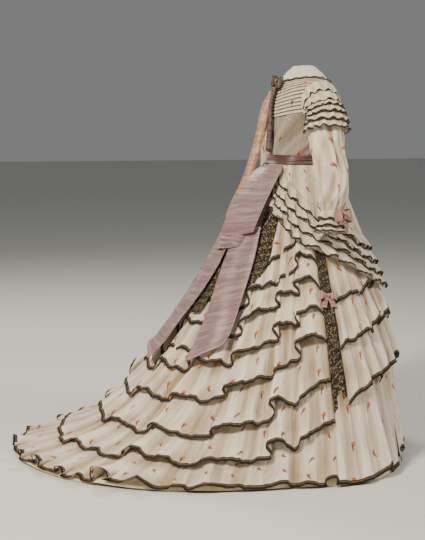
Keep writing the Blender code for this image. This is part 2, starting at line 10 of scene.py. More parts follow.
import bpy
import numpy as np
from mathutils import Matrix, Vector


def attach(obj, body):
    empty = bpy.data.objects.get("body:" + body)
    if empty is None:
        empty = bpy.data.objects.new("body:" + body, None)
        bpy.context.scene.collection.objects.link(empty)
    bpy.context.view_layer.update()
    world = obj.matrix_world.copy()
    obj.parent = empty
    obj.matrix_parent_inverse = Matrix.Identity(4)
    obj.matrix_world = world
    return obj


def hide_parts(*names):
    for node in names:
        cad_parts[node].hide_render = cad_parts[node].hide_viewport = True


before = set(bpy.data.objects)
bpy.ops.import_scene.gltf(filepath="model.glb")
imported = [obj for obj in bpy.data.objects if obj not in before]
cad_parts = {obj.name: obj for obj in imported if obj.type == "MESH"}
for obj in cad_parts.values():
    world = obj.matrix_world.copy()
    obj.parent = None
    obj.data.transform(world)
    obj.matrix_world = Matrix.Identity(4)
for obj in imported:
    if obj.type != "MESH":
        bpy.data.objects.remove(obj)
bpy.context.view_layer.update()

# The photograph's camera, in degrees and metres
CAMERA_AZIMUTH = 248.0
CAMERA_DISTANCE = 4.0
CAMERA_HEIGHT = 1.15
CAMERA_PITCH = 7.19
CAMERA_YAW = 4.74
CAMERA_LENS_MM = 72.8

# The dress's form, as in its frame, in metres and degrees
HOLD_HEIGHT = 1.30
LAYER = 0.0019
CLOTH_THICK = 0.0007
LACE_THICK = 0.0006
RIBBON_THICK = 0.0008
# How far the parts that lie over the deep folds stand off the form at the hem
RIBBON_SPAN = 0.024
LOOP_SPAN = 0.020
APRON_SPAN = 0.010
# The right side has negative x and positive angles
SIDES = ((-1, "right"), (1, "left"))
WAIST_BACK_SHIFT = 0.028
SKIRT_FRONT = ((0.092, 1.050), (0.138, 0.970), (0.172, 0.890), (0.235, 0.720),
               (0.298, 0.540), (0.326, 0.340), (0.340, 0.150), (0.350, 0.000))
SKIRT_SIDE = ((0.118, 1.050), (0.160, 0.980), (0.196, 0.900), (0.280, 0.700),
              (0.362, 0.500), (0.430, 0.300), (0.490, 0.120), (0.530, 0.000))
SKIRT_BACK = ((0.090, 1.050), (0.152, 1.000), (0.212, 0.900), (0.320, 0.700),
              (0.430, 0.500), (0.560, 0.310), (0.750, 0.125), (1.060, 0.000))
SIDE_SEAM = 95.0
TRAIN_SWEEP = 13.0
TRAIN_ROUNDNESS = 1.6
FRONT_ROUNDNESS = (1.1, 3.2)
WAIST_LEVEL = 0.06
BACK_EDGE = 98.0
FRONT_EDGE = 91.0

EDGE_ANGLES = (0, 55, 91, 98, 120, 140, 160, 180)
EDGES = {
    "waist": (0.00, 0.00, 0.00, 0.00, 0.00, 0.00, 0.00, 0.00),
    "hip": (0.14, 0.13, 0.11, 0.11, 0.12, 0.15, 0.16, 0.16),
    "back_1": (0.28, 0.26, 0.24, 0.24, 0.29, 0.36, 0.40, 0.42),
    "back_2": (0.37, 0.35, 0.33, 0.325, 0.375, 0.44, 0.47, 0.48),
    "back_3": (0.43, 0.425, 0.45, 0.405, 0.45, 0.525, 0.54, 0.54),
    "back_4": (0.49, 0.48, 0.52, 0.48, 0.55, 0.61, 0.60, 0.59),
    "back_5": (0.55, 0.54, 0.585, 0.565, 0.65, 0.71, 0.68, 0.67),
    "back_6": (0.62, 0.61, 0.67, 0.68, 0.78, 0.83, 0.78, 0.76),
    "back_7": (0.70, 0.69, 0.75, 0.80, 0.90, 0.915, 0.89, 0.88),
    "hem": (1.00, 1.00, 1.00, 1.00, 1.00, 1.00, 1.00, 1.00),
}
APRON_ANGLES = (0, 34, 56, 78, 95, 113, 126, 132, 136)
APRON_EDGES = {
    "seam": (0.29, 0.28, 0.26, 0.20, 0.165, 0.11, 0.060, 0.030, 0.014),
    "ruffle_1": (0.34, 0.33, 0.31, 0.25, 0.21, 0.15, 0.105, 0.075, 0.030),
    "ruffle_2": (0.39, 0.38, 0.35, 0.285, 0.245, 0.19, 0.140, 0.115, 0.078),
    "ruffle_3": (0.435, 0.42, 0.385, 0.32, 0.28, 0.23, 0.172, 0.150, 0.120),
    "ruffle_4": (0.48, 0.46, 0.42, 0.355, 0.315, 0.27, 0.205, 0.184, 0.158),
}
APRON_CORNER = 136.0
APRON_LIFT = 0.016

BODICE_FRONT = ((0.092, 1.0504), (0.106, 1.110), (0.130, 1.180),
                (0.126, 1.235), (0.104, 1.294), (0.078, 1.337))
BODICE_SIDE = ((0.118, 1.0504), (0.132, 1.120), (0.150, 1.200),
               (0.154, 1.270), (0.136, 1.314), (0.078, 1.345))
BODICE_BACK = ((0.090, 1.0504), (0.102, 1.110), (0.114, 1.180),
               (0.113, 1.245), (0.100, 1.298), (0.078, 1.340))
ARMHOLE_MIDDLE = 0.62
ARMHOLE_HALF_HEIGHT = 0.215
ARMHOLE_ANGLE = 88.0
ARMHOLE_HALF_WIDTH = 25.0
ARMHOLE_LIFT = 0.0060
TUCK_COUNT = 12
TUCKS_START = 0.52

# A sleeve's middle line: out from the dress's middle, back, height, half width
SLEEVE = (
    (0.198, 0.008, 1.232, 0.056),
    (0.218, 0.008, 1.192, 0.061),
    (0.232, 0.010, 1.142, 0.064),
    (0.250, 0.010, 1.078, 0.064),
    (0.272, 0.008, 1.012, 0.063),
    (0.292, 0.008, 0.950, 0.059),
    (0.304, 0.014, 0.910, 0.050),
    (0.312, 0.022, 0.884, 0.032),
    (0.320, 0.028, 0.848, 0.029),
    (0.326, 0.032, 0.814, 0.030),
)
# The first and last row of a ruffle, how far its foot stands out and the height of its waves
SHOULDER_RUFFLES = ((0.05, 0.55, 0.000, 0.0045), (0.50, 1.02, 0.001, 0.0055), (0.97, 1.47, 0.003, 0.0070),
                    (1.42, 1.90, 0.005, 0.0080), (1.85, 2.33, 0.005, 0.0085), (2.28, 2.80, 0.006, 0.0090))
CUFF_RUFFLES = ((0.790, 0.870, 0.006, 0.0095), (0.860, 0.935, 0.009, 0.0095),
                (0.925, 0.995, 0.012, 0.0095))

# The sash and ribbons as routes down the back: share, angle, lift, half width
LOOP_ROUTE = ((0.0128, 150, 0.0068, 0.034), (0.045, 149.5, 0.022, 0.058),
              (0.095, 150.5, 0.040, 0.071), (0.150, 152.5, 0.047, 0.077),
              (0.205, 154.5, 0.040, 0.078), (0.2330, 155.5, 0.029, 0.075),
              (0.205, 154.5, 0.023, 0.066), (0.150, 153, 0.020, 0.056), (0.090, 151, 0.018, 0.046))
KNOT_ROUTE = ((0.2250, 160, 0.0280, 0.062), (0.245, 160, 0.0330, 0.064), (0.267, 160, 0.0230, 0.062))
RIGHT_TAIL = ((0.215, 149.5, 0.0165, 0.054), (0.290, 148.5, 0.0175, 0.063), (0.350, 148, 0.0175, 0.066),
              (0.410, 147.5, 0.0190, 0.066), (0.470, 147, 0.0200, 0.066), (0.530, 147, 0.0220, 0.067),
              (0.575, 147, 0.0290, 0.067))
LEFT_TAIL = ((0.225, 168, 0.0178, 0.044), (0.290, 169, 0.0175, 0.054), (0.350, 170.5, 0.0175, 0.059),
             (0.410, 172.5, 0.0190, 0.062), (0.470, 174.5, 0.0200, 0.064), (0.530, 175.5, 0.0220, 0.066),
             (0.565, 176.5, 0.0290, 0.067))
SASH_LACE = {
    "sash_lace_right": ((0.165, 134, 0.0110, 0.028), (0.225, 134, 0.0118, 0.030),
                        (0.280, 135, 0.0118, 0.034), (0.340, 137, 0.0118, 0.034),
                        (0.400, 139, 0.0130, 0.024)),
    "sash_lace_middle": ((0.246, 160, 0.0092, 0.026), (0.320, 161, 0.0097, 0.030),
                         (0.380, 162, 0.0117, 0.030), (0.440, 163, 0.0150, 0.022)),
}
RIBBON_BUNDLE = ((0.895, 180, 0.0060, 0.014), (0.760, 181, 0.0060, 0.016), (0.560, 182, 0.0060, 0.017),
                 (0.380, 183, 0.0050, 0.018), (0.220, 183, 0.0050, 0.018), (0.090, 183, 0.0050, 0.017))
STREAMER = ((0.006, 0.114, 1.296), (0.019, 0.142, 1.232), (0.034, 0.162, 1.120), (0.046, 0.200, 0.990),
            (0.058, 0.240, 0.900), (0.066, 0.262, 0.842))
STREAMER_HALF = 0.017

# Where a deep fold of the skirt laps over the next, in degrees from the slit at that side to the middle
BACK_LAPS = {1: (14.5, 24.5, 40.0, 55.5, 71.0), -1: (12.5, 26.0, 38.0, 56.5, 69.0)}
FRONT_LAPS = {1: (19.0, 32.0, 51.0, 65.0, 78.0), -1: (18.0, 34.0, 50.0, 63.0, 79.0)}
BACK_LAP_DEPTHS = (0.020, 0.021, 0.029, 0.031, 0.027, 0.020)
FRONT_LAP_DEPTHS = (0.014, 0.013, 0.015, 0.013, 0.012, 0.008)
LAP_WIDTH = 3.4
LAP_OVER = 0.016
LAP_EDGE_RISE = 0.046
# The columns of points across a lap and a curl, and the least angle between two
LAP_COLUMNS = 13
CURL_COLUMNS = 25
LEAST_STEP = 0.10
# How strongly each layer folds at its laps at the back and at the front, from the slit to the middle
FLAT = (0, 0, 0, 0, 0)
STRENGTHS = {
    "back_flounce_1": ((0.3, 0.2, 0.35, 0.3, 0.3), FLAT),
    "back_flounce_2": ((1.0, 0.3, 0.9, 0.4, 0.6), FLAT),
    "back_flounce_3": ((1.0, 0.9, 0.9, 0.7, 0.4), FLAT),
    "back_flounce_4": ((0.8, 1.0, 0.6, 0.9, 0.7), FLAT),
    "back_flounce_5": ((1.0, 0.3, 0.8, 0.4, 0.5), FLAT),
    "back_flounce_6": ((0.25, 1.10, 0.7, 0.5, 0.3), FLAT),
    "back_flounce_7": ((0.25, 1.10, 0.35, 0.6, 0.3), FLAT),
    "front_flounce_1": (FLAT, (0.3, 0.35, 0.3, 0.4, 0.3)),
    "front_flounce_2": (FLAT, (0.35, 0.5, 0.4, 0.5, 0.5)),
    "front_flounce_3": (FLAT, (0.5, 0.6, 0.6, 0.7, 0.6)),
    "hem_flounce": ((0.3, 0.7, 0.4, 0.5, 0.4), (0.9, 1.0, 0.8, 1.0, 0.9)),
}
MIDDLE_STRENGTH = 0.5
# Where the hem's edge curls up: angle, half of the edge in it, its height and whether it is a round loop
HEM_CURLS = (
    (101, 0.045, 0.042, True), (109, 0.030, 0.010, False), (118, 0.045, 0.015, False),
    (129, 0.034, 0.018, False), (134.2, 0.055, 0.026, False), (140, 0.034, 0.012, False),
    (146.5, 0.056, 0.046, False), (152.3, 0.062, 0.058, True), (156.3, 0.022, 0.016, False),
    (159.6, 0.036, 0.034, True), (165, 0.046, 0.042, True), (171.5, 0.038, 0.030, True),
    (178, 0.040, 0.040, True), (-171, 0.034, 0.026, True), (-160, 0.048, 0.036, True),
    (-146, 0.050, 0.040, False), (-134, 0.050, 0.040, True), (-120, 0.040, 0.022, False),
    (-106, 0.042, 0.038, True), (76, 0.032, 0.020, True), (46, 0.034, 0.018, False),
    (-18, 0.032, 0.018, True), (-52, 0.034, 0.020, False), (-83, 0.032, 0.022, True),
)

# The print's repeat and the lace edging's size, in metres
PRINT_ACROSS = 0.090
PRINT_DOWN = 0.094
# How far over the cloth's foot each row of an edging lies
BROAD_ROWS = (0.0115, 0.0115 * 0.45, -0.0012)
NARROW_ROWS = (0.0055, 0.003, -0.001)
LOBE_PITCH = 0.0074
LOBE_RADIUS = 0.0036
LOBE_THICK = 0.0007
LOBE_CORNERS = 6

# The studio's floor, from its middle to its edges and just under the hem, and where its lamps point
FLOOR = 40.0
FLOOR_LEVEL = -0.0015
LAMP_TARGET = (0, 0.15, -0.6)


# Curves and noise

def smooth(share):
    """An even start and end between 0 and 1, and held outside."""
    share = np.clip(share, 0, 1)
    return share * share * (3 - 2 * share)


def mix(start, end, share):
    return start + (end - start) * share


def glide(places, values, at):
    """A smooth curve through the values, held at both ends."""
    places, values = np.array(places, float), np.array(values, float)
    last = len(places) - 1
    at = np.clip(at, places[0], places[-1])
    i = np.clip(np.searchsorted(places, at, side="right") - 1, 0, last - 1)
    before, after = np.maximum(np.arange(last + 1) - 1, 0), np.minimum(np.arange(last + 1) + 1, last)
    slopes = (values[after] - values[before]) / (places[after] - places[before])
    span = places[i + 1] - places[i]
    s = (at - places[i]) / span
    near = (2 * s**3 - 3 * s**2 + 1) * values[i] + (s**3 - 2 * s**2 + s) * span * slopes[i]
    return near + (3 * s**2 - 2 * s**3) * values[i + 1] + (s**3 - s**2) * span * slopes[i + 1]


def outline(rows, samples=120):
    rows = np.array(rows, float)
    steps = np.r_[0, np.cumsum(np.hypot(*np.diff(rows, axis=0).T))]
    at = np.linspace(0, steps[-1], samples + 1)
    return np.stack([glide(steps, rows[:, k], at) for k in (0, 1)])


def read(curve, share):
    places = np.linspace(0, 1, curve.shape[1])
    return np.interp(share, places, curve[0]), np.interp(share, places, curve[1])


def run(line):
    """How far along a line of points each of them lies, in metres."""
    return np.r_[0, np.cumsum(np.linalg.norm(np.diff(line, axis=0), axis=-1))]


def unit(vectors):
    return vectors / np.maximum(np.linalg.norm(vectors, axis=-1, keepdims=True), 1e-9)


def waves(along, width, seed, unevenness=0.4):
    """Waves of uneven width and height along a line in metres: how high a point is, and where in a wave."""
    random = np.random.RandomState(seed)
    count = max(2, round((along.max() - along.min()) / width))
    widths = 1 + unevenness * (2 * random.rand(count) - 1)
    ends = along.min() + np.cumsum(widths) / widths.sum() * (along.max() - along.min())
    starts = np.r_[along.min(), ends[:-1]]
    i = np.clip(np.searchsorted(ends, along), 0, count - 1)
    place = (along - starts[i]) / (ends[i] - starts[i])
    heights = 1 - unevenness * random.rand(count)
    return heights[i] * np.sin(np.pi * place) ** 2, place


def crumple(across, down, cell_across, cell_down, seed):
    """Smooth uneven noise from -1 to 1 over cells of these sizes, for soft creases."""
    across, down = np.broadcast_arrays(across, down)
    x, y = across / cell_across, down / cell_down
    x, y = x - x.min(), y - y.min()
    lattice = np.random.RandomState(seed).rand(int(x.max()) + 3, int(y.max()) + 3) * 2 - 1
    i, j = x.astype(int), y.astype(int)
    s, t = smooth(x - i), smooth(y - j)
    near = mix(lattice[i, j], lattice[i + 1, j], s)
    far = mix(lattice[i, j + 1], lattice[i + 1, j + 1], s)
    return mix(near, far, t)


# The dress's surfaces

SKIRT = [outline(rows) for rows in (SKIRT_FRONT, SKIRT_SIDE, SKIRT_BACK)]
BODICE = [outline(rows) for rows in (BODICE_FRONT, BODICE_SIDE, BODICE_BACK)]


def around(angle):
    return np.abs((angle + 180) % 360 - 180)


def skirt_plain(share, angle):
    """A point of the skirt with no folds."""
    off = around(angle)
    ahead = off <= SIDE_SEAM
    roundness = mix(*FRONT_ROUNDNESS, smooth(share))
    front = ((1 - np.cos(np.pi * np.minimum(off, SIDE_SEAM) / SIDE_SEAM)) / 2) ** roundness
    past = np.maximum(off - SIDE_SEAM, 0) / (180 - SIDE_SEAM)
    back = ((1 - np.cos(np.pi * past)) / 2) ** TRAIN_ROUNDNESS
    near, side, far = (read(curve, share) for curve in SKIRT)
    reach = np.where(ahead, mix(near[0], side[0], front), mix(side[0], far[0], back))
    height = np.where(ahead, mix(near[1], side[1], front), mix(side[1], far[1], back))
    turn = np.radians(angle + np.where(ahead, 0, TRAIN_SWEEP * back * share))
    shift = WAIST_BACK_SHIFT * (1 - smooth(share))
    return np.stack([-reach * np.sin(turn), shift - reach * np.cos(turn), height + 0 * turn], -1)


def bodice_plain(share, angle):
    off = np.radians(around(angle))
    front, side, back = (read(curve, share) for curve in BODICE)
    weight = np.sin(off) ** 2
    ahead = off < np.pi / 2
    reach, height = (mix(np.where(ahead, front[k], back[k]), side[k], weight) for k in (0, 1))
    turn = np.radians(angle)
    shift = WAIST_BACK_SHIFT * (1 - smooth(share * 2))
    return np.stack([-reach * np.sin(turn), shift - reach * np.cos(turn), height + 0 * turn], -1)


def outward(surface, share, angle):
    """The direction square to a surface, away from the dress's inside, and level at the waist."""
    share, angle = np.broadcast_arrays(share, angle)
    along = surface(np.minimum(1, share + 0.01), angle) - surface(np.maximum(0, share - 0.01), angle)
    across = surface(share, angle + 1.5) - surface(share, angle - 1.5)
    square = unit(np.cross(across, along))
    radius = surface(share, angle)
    facing = square[..., 0] * radius[..., 0] + square[..., 1] * radius[..., 1] + 0.1 * square[..., 2]
    square = square * np.where(facing < 0, -1, 1)[..., None]
    square[..., 2] *= smooth(share / WAIST_LEVEL)
    return unit(square)


def raised(surface, share, angle, lift):
    """A point that stands off a surface by its lift."""
    share, angle, lift = np.broadcast_arrays(share, angle, lift)
    return surface(share, angle) + outward(surface, share, angle) * lift[..., None]


def grown(share):
    """How far the skirt's folds have reached their full depth."""
    return smooth((share - 0.12) / 0.6)


def laps(angle, strengths):
    """The skirt's deep folds at a place on its cloth: how far up the fold it is, from 0 behind a lap to the
    fold's strength on its brink, how far the cloth doubles back there, and the fold's depth at the hem."""
    angle, = np.broadcast_arrays((angle + 180) % 360 - 180)
    off, side = np.abs(angle), np.where(angle < 0, -1, 1)
    up, turned, depth = np.zeros(off.shape), np.zeros(off.shape), np.zeros(off.shape)
    for edge, sense, places, depths, strong in ((BACK_EDGE, 1, BACK_LAPS, BACK_LAP_DEPTHS, strengths[0]),
                                                (FRONT_EDGE, -1, FRONT_LAPS, FRONT_LAP_DEPTHS, strengths[1])):
        for hand in (1, -1):
            from_slit = (off - edge) * sense
            here = (side == hand) & (from_slit >= 0)
            ends = [*places[hand], (180 - edge if sense > 0 else edge) + 6.0]
            start = 0.0
            own = [*(strong if hand > 0 else strong[::-1]), min(MIDDLE_STRENGTH, max(strong))]
            for end, deep, strength in zip(ends, depths, own):
                rise = (from_slit - start) / (end - LAP_WIDTH / 2 - start)
                fall = (from_slit - end) / LAP_WIDTH
                rising = here & (rise >= 0) & (rise <= 1)
                falling = here & (np.abs(fall) < 0.5)
                up[rising] = rise[rising] ** 0.8 * strength
                depth[rising | falling] = deep
                up[falling] = (1 - smooth(fall[falling] + 0.5)) * strength
                turned[falling] = -np.sin(2 * np.pi * fall[falling]) * sense * hand * min(1, strength)
                start = end + LAP_WIDTH / 2
    return up, turned, depth


def skirt(share, angle, lift, strengths, loose=1.0):
    """A point in a layer of the skirt, and how far up a deep fold it is. loose is 1 where the cloth hangs
    free, and less near the seam that holds it."""
    share, angle, lift, loose = np.broadcast_arrays(share, angle, lift, loose)
    up, turned, depth = laps(angle, strengths)
    plain = skirt_plain(share, angle)
    reach = np.hypot(plain[..., 0], plain[..., 1])
    over = np.degrees(LAP_OVER * smooth((share - 0.14) / 0.35) * loose ** 2 / reach)
    return raised(skirt_plain, share, angle + turned * over, up * depth * grown(share) * loose + lift), up


def spanned(depth):
    """A surface that lies over the deep folds, on their brinks, and this far off the form at the hem."""
    return lambda share, angle, lift: raised(skirt_plain, share, angle, depth * grown(share) + lift)


def bodice(share, angle, lift):
    return raised(bodice_plain, share, angle, lift)


def edge_share(name, angle):
    return glide(EDGE_ANGLES, EDGES[name], around(angle))


def apron_share(name, angle):
    return glide(APRON_ANGLES, APRON_EDGES[name], around(angle))


def apron_rise(share):
    return LAYER + APRON_LIFT * smooth(share / 0.16)


def sleeve_line(share, side):
    places = np.linspace(0, 1, len(SLEEVE))
    out, back, height, half = (glide(places, [row[k] for row in SLEEVE], share) for k in range(4))
    return np.stack([side * out, back, height], -1), half


def sleeve(share, turn, side, lift):
    """A point of a sleeve. A turn of 0 is its outer line and a quarter turn is its front."""
    share, turn, lift = np.broadcast_arrays(share, turn, lift)
    middle, half = sleeve_line(share, side)
    below, _ = sleeve_line(np.minimum(1, share + 0.02), side)
    above, _ = sleeve_line(np.maximum(0, share - 0.02), side)
    ahead = unit(below - above)
    front = unit(np.array((0.0, -1.0, 0.0)) - ahead * -ahead[..., 1:2])
    up = np.cross(front, ahead)
    up = up * np.where(up[..., :1] * side > 0, 1, -1)
    ring = up * np.cos(turn)[..., None] + front * np.sin(turn)[..., None]
    return middle + ring * (half + lift)[..., None]


def sleeve_point(row, turn, side, lift):
    """Row 0 is the armhole seam, and from row 1 on the rows follow the sleeve's middle line."""
    row, turn, lift = np.broadcast_arrays(row, turn, lift)
    share = ARMHOLE_MIDDLE + 1.07 * ARMHOLE_HALF_HEIGHT * np.cos(turn)
    angle = ARMHOLE_ANGLE - 1.10 * ARMHOLE_HALF_WIDTH * np.sin(turn)
    seam = bodice(share, -side * angle, ARMHOLE_LIFT + lift)
    arm = sleeve(np.maximum(row - 1, 0) / 9, turn, side, lift)
    weight = np.minimum(row, 1)[..., None]
    return mix(seam, arm, weight)


# Meshes

def lengths(points, closed=False):
    """How far along its rows and down its columns each point of a cloth lies, in metres, on the average."""
    ring = np.concatenate([points, points[:, :1]], 1) if closed else points
    across = np.linalg.norm(np.diff(ring, axis=1), axis=-1)
    down = np.linalg.norm(np.diff(points, axis=0), axis=-1).mean(1)
    return np.r_[0, np.cumsum(across.mean(0))], np.r_[0, np.cumsum(down)], across.sum(1)


def make_mesh(name, points, faces, finish, uv=None, fold=None):
    """A smooth mesh at its place in the frame, with its cut's coordinates and the painted shade of its folds.
    """
    mesh = bpy.data.meshes.new(name)
    mesh.from_pydata(np.asarray(points, float) - (0, 0, HOLD_HEIGHT), [], np.asarray(faces).tolist())
    mesh.polygons.foreach_set("use_smooth", np.ones(len(mesh.polygons), bool))
    if uv is not None:
        layer = mesh.uv_layers.new(name="cut")
        layer.data.foreach_set("uv", np.asarray(uv, np.float32).ravel())
    if fold is not None:
        attribute = mesh.attributes.new("fold", "FLOAT", "POINT")
        attribute.data.foreach_set("value", np.asarray(fold, np.float32).ravel())
    mesh.materials.append(finish)
    made = bpy.data.objects.new(name, mesh)
    bpy.context.scene.collection.objects.link(made)
    return made


def grid(points, closed=False, flip=False):
    """The faces of a cloth's rows and columns, and the coordinates of their corners on the flat cut."""
    rows, columns = points.shape[:2]
    ring = columns if closed else columns - 1
    r, c = (g.ravel() for g in np.meshgrid(np.arange(rows - 1), np.arange(ring), indexing="ij"))
    first, after = r * columns, (c + 1) % columns
    faces = np.stack([first + c, first + after, first + columns + after, first + columns + c], 1)
    across, down, _ = lengths(points, closed)
    uv = np.stack([across[np.stack([c, c + 1, c + 1, c], 1)], -down[np.stack([r, r, r + 1, r + 1], 1)]], -1)
    if flip:
        faces, uv = faces[:, ::-1], uv[:, ::-1]
    return faces, uv


def cloth(name, points, finish, closed=False, flip=False, fold=None, thickness=CLOTH_THICK):
    """A thin cloth of rows and columns, with its thickness inward."""
    faces, uv = grid(points, closed, flip)
    piece = make_mesh(name, points.reshape(-1, 3), faces, finish, uv, fold)
    wall = piece.modifiers.new("cloth thickness", "SOLIDIFY")
    wall.thickness = thickness
    wall.offset = -1
    return piece


def stands_for(piece, node):
    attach(piece, "root")
    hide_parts(node)


def sheet_for(piece, node):
    """Puts a cloth in a node's place."""
    stands_for(piece, node)


def join(pieces, name):
    """One piece of several, with their modifiers applied."""
    evaluated = bpy.context.evaluated_depsgraph_get()
    for piece in pieces:
        plain = bpy.data.meshes.new_from_object(piece.evaluated_get(evaluated))
        piece.modifiers.clear()
        piece.data = plain
    with bpy.context.temp_override(active_object=pieces[0], selected_editable_objects=pieces):
        bpy.ops.object.join()
    pieces[0].name = name
    return pieces[0]


# Materials

def linear(colour):
    """The linear colour of an sRGB hex value."""
    parts = [int(colour[i:i + 2], 16) / 255 for i in (1, 3, 5)]
    return [*(p / 12.92 if p <= 0.04045 else ((p + 0.055) / 1.055) ** 2.4 for p in parts), 1.0]


def add_node(tree, kind, inputs=None, **settings):
    """Adds a node and gives its outputs. The inputs are values, or the sockets that feed them."""
    node = tree.nodes.new(kind)
    for name, value in settings.items():
        setattr(node, name, value)
    for socket, value in (inputs or {}).items():
        if isinstance(value, bpy.types.NodeSocket):
            tree.links.new(value, node.inputs[socket])
        else:
            node.inputs[socket].default_value = value
    return node.outputs


def new_material(name, roughness, sheen=0.0, specular=0.35):
    """A material, and what adds a node to it."""
    made = bpy.data.materials.new(name)
    made.use_nodes = True
    shader = made.node_tree.nodes["Principled BSDF"]
    for socket, value in (("Roughness", roughness), ("Sheen Weight", sheen), ("Sheen Roughness", 0.4),
                          ("Specular IOR Level", specular), ("IOR", 1.5)):
        shader.inputs[socket].default_value = value
    return made, partial(add_node, made.node_tree)


def finished(made, colour, height, strength, distance):
    """A material with its colour and its relief."""
    tree = made.node_tree
    relief = add_node(tree, "ShaderNodeBump",
                      {"Height": height, "Strength": strength, "Distance": distance})[0]
    shader = tree.nodes["Principled BSDF"]
    tree.links.new(relief, shader.inputs["Normal"])
    tree.links.new(colour, shader.inputs["Base Color"])
    return made


def woven(add, cut, thread_mm):
    """Uneven threads both ways, from 0 to 1, as thin streaks 12 times as long as they are wide."""
    streaks = []
    for size in ((thread_mm, thread_mm * 12), (thread_mm * 12, thread_mm)):
        scale = (1000 / size[0], 1000 / size[1], 1)
        stretched = add("ShaderNodeVectorMath", {0: cut, 1: scale}, operation="MULTIPLY")[0]
        streaks.append(add("ShaderNodeTexNoise", {"Vector": stretched, "Scale": 1.0, "Detail": 1.0})[0])
    return add("ShaderNodeMath", {0: streaks[0], 1: streaks[1]}, operation="MULTIPLY")[0]


def printed_drops(add, cut, colour):
    """Block printed drops in a half-drop repeat, each an orange spot with a curled purple tail."""
    cells = add("ShaderNodeVectorMath", {0: cut, 1: (1 / PRINT_ACROSS, 1 / PRINT_DOWN, 1)},
                operation="MULTIPLY")[0]
    place = add("ShaderNodeSeparateXYZ", {0: cells})
    column = add("ShaderNodeMath", {0: place[0]}, operation="FLOOR")[0]
    dropped = add("ShaderNodeMath", {0: column, 1: 0.5, 2: place[1]}, operation="MULTIPLY_ADD")[0]
    repeat = add("ShaderNodeCombineXYZ", {0: place[0], 1: dropped})[0]
    cell = add("ShaderNodeVectorMath", {0: repeat}, operation="FLOOR")[0]
    chance = add("ShaderNodeTexWhiteNoise", {"Vector": cell}, noise_dimensions="3D")
    inside = add("ShaderNodeVectorMath", {0: repeat}, operation="FRACTION")[0]
    shifted = add("ShaderNodeVectorMath", {0: chance["Color"], 1: (-0.34, -0.34, 0), 2: inside},
                  operation="MULTIPLY_ADD")[0]
    centred = add("ShaderNodeVectorMath", {0: shifted, 1: (0.33, 0.33, 0)}, operation="SUBTRACT")[0]
    real = add("ShaderNodeVectorMath", {0: centred, 1: (PRINT_ACROSS, PRINT_DOWN, 0)},
               operation="MULTIPLY")[0]
    angle = add("ShaderNodeMapRange", {"Value": chance["Value"], "To Min": -1.3, "To Max": 0.7})[0]
    turned = add("ShaderNodeVectorRotate", {"Vector": real, "Angle": angle}, rotation_type="Z_AXIS")[0]
    xy = add("ShaderNodeSeparateXYZ", {0: turned})
    squared = add("ShaderNodeMath", {0: xy[1], 1: xy[1]}, operation="MULTIPLY")[0]
    bent = add("ShaderNodeMath", {0: squared, 1: 28.0, 2: xy[0]}, operation="MULTIPLY_ADD")[0]
    curl = add("ShaderNodeCombineXYZ", {0: bent, 1: xy[1]})[0]
    # The tail is 20 mm long and 7 mm wide, and the spot 12 mm across
    tail = add("ShaderNodeVectorMath", {0: curl, 1: (1 / 0.0036, 1 / 0.0105, 0), 2: (0.0, 0.80, 0.0)},
               operation="MULTIPLY_ADD")[0]
    far = add("ShaderNodeVectorMath", {0: tail}, operation="LENGTH")["Value"]
    in_tail = add("ShaderNodeMapRange",
                  {"Value": far, "From Min": 1.15, "From Max": 0.8, "To Min": 0.0, "To Max": 0.85})[0]
    from_spot = add("ShaderNodeVectorMath", {0: turned}, operation="LENGTH")["Value"]
    in_spot = add("ShaderNodeMapRange",
                  {"Value": from_spot, "From Min": 0.0078, "From Max": 0.0058, "To Min": 0.0,
                   "To Max": 0.95})[0]
    shaded = add("ShaderNodeMapRange", {"Value": xy[1], "From Min": -0.006, "From Max": -0.001})[0]
    spot = add("ShaderNodeMix", {0: shaded, 6: linear("#5d2a22"), 7: linear("#cf6f2a")}, data_type="RGBA")[2]
    colour = add("ShaderNodeMix", {0: in_tail, 6: colour, 7: linear("#33202f")}, data_type="RGBA")[2]
    return add("ShaderNodeMix", {0: in_spot, 6: colour, 7: spot}, data_type="RGBA")[2]


def printed_muslin(name, low, high, printed=True):
    """Cotton muslin, plain woven, soft and matt. The fold attribute mixes its colour from low, a painted
    shade warm and dark in the folds' hollows and shadowed places, to high, a painted highlight on their
    ridges."""
    made, add = new_material(name, roughness=0.9, sheen=0.25, specular=0.2)
    cut = add("ShaderNodeUVMap", uv_map="cut")[0]
    # Painted shade and light, carried by the fold attribute
    fold = add("ShaderNodeAttribute", attribute_name="fold")["Fac"]
    colour = add("ShaderNodeMix", {0: fold, 6: linear(low), 7: linear(high)}, data_type="RGBA")[2]
    # Threads are 0.4 mm apart, drawn 1.1 mm apart so that they show
    threads = woven(add, cut, 1.1)
    faint = add("ShaderNodeMapRange",
                {"Value": threads, "From Min": 0.1, "From Max": 0.45, "To Min": 0.9, "To Max": 1.03})[0]
    colour = add("ShaderNodeMix", {0: 1.0, 6: colour, 7: faint}, data_type="RGBA", blend_type="MULTIPLY")[2]
    cloudy = add("ShaderNodeTexNoise", {"Vector": cut, "Scale": 9.0, "Detail": 4.0})[0]
    aged = add("ShaderNodeMapRange",
               {"Value": cloudy, "From Min": 0.3, "From Max": 0.7, "To Min": 0.0, "To Max": 0.30})[0]
    colour = add("ShaderNodeMix", {0: aged, 6: colour, 7: linear("#c9b07c")}, data_type="RGBA")[2]
    if printed:
        colour = printed_drops(add, cut, colour)
    stretched = add("ShaderNodeVectorMath", {0: cut, 1: (80, 22, 1)}, operation="MULTIPLY")[0]
    creases = add("ShaderNodeTexNoise",
                  {"Vector": stretched, "Scale": 1.0, "Detail": 5.0, "Roughness": 0.66,
                   "Distortion": 0.6})[0]
    relief = add("ShaderNodeMath", {0: threads, 1: 0.10, 2: creases}, operation="MULTIPLY_ADD")[0]
    return finished(made, colour, relief, 1.0, 0.0100)


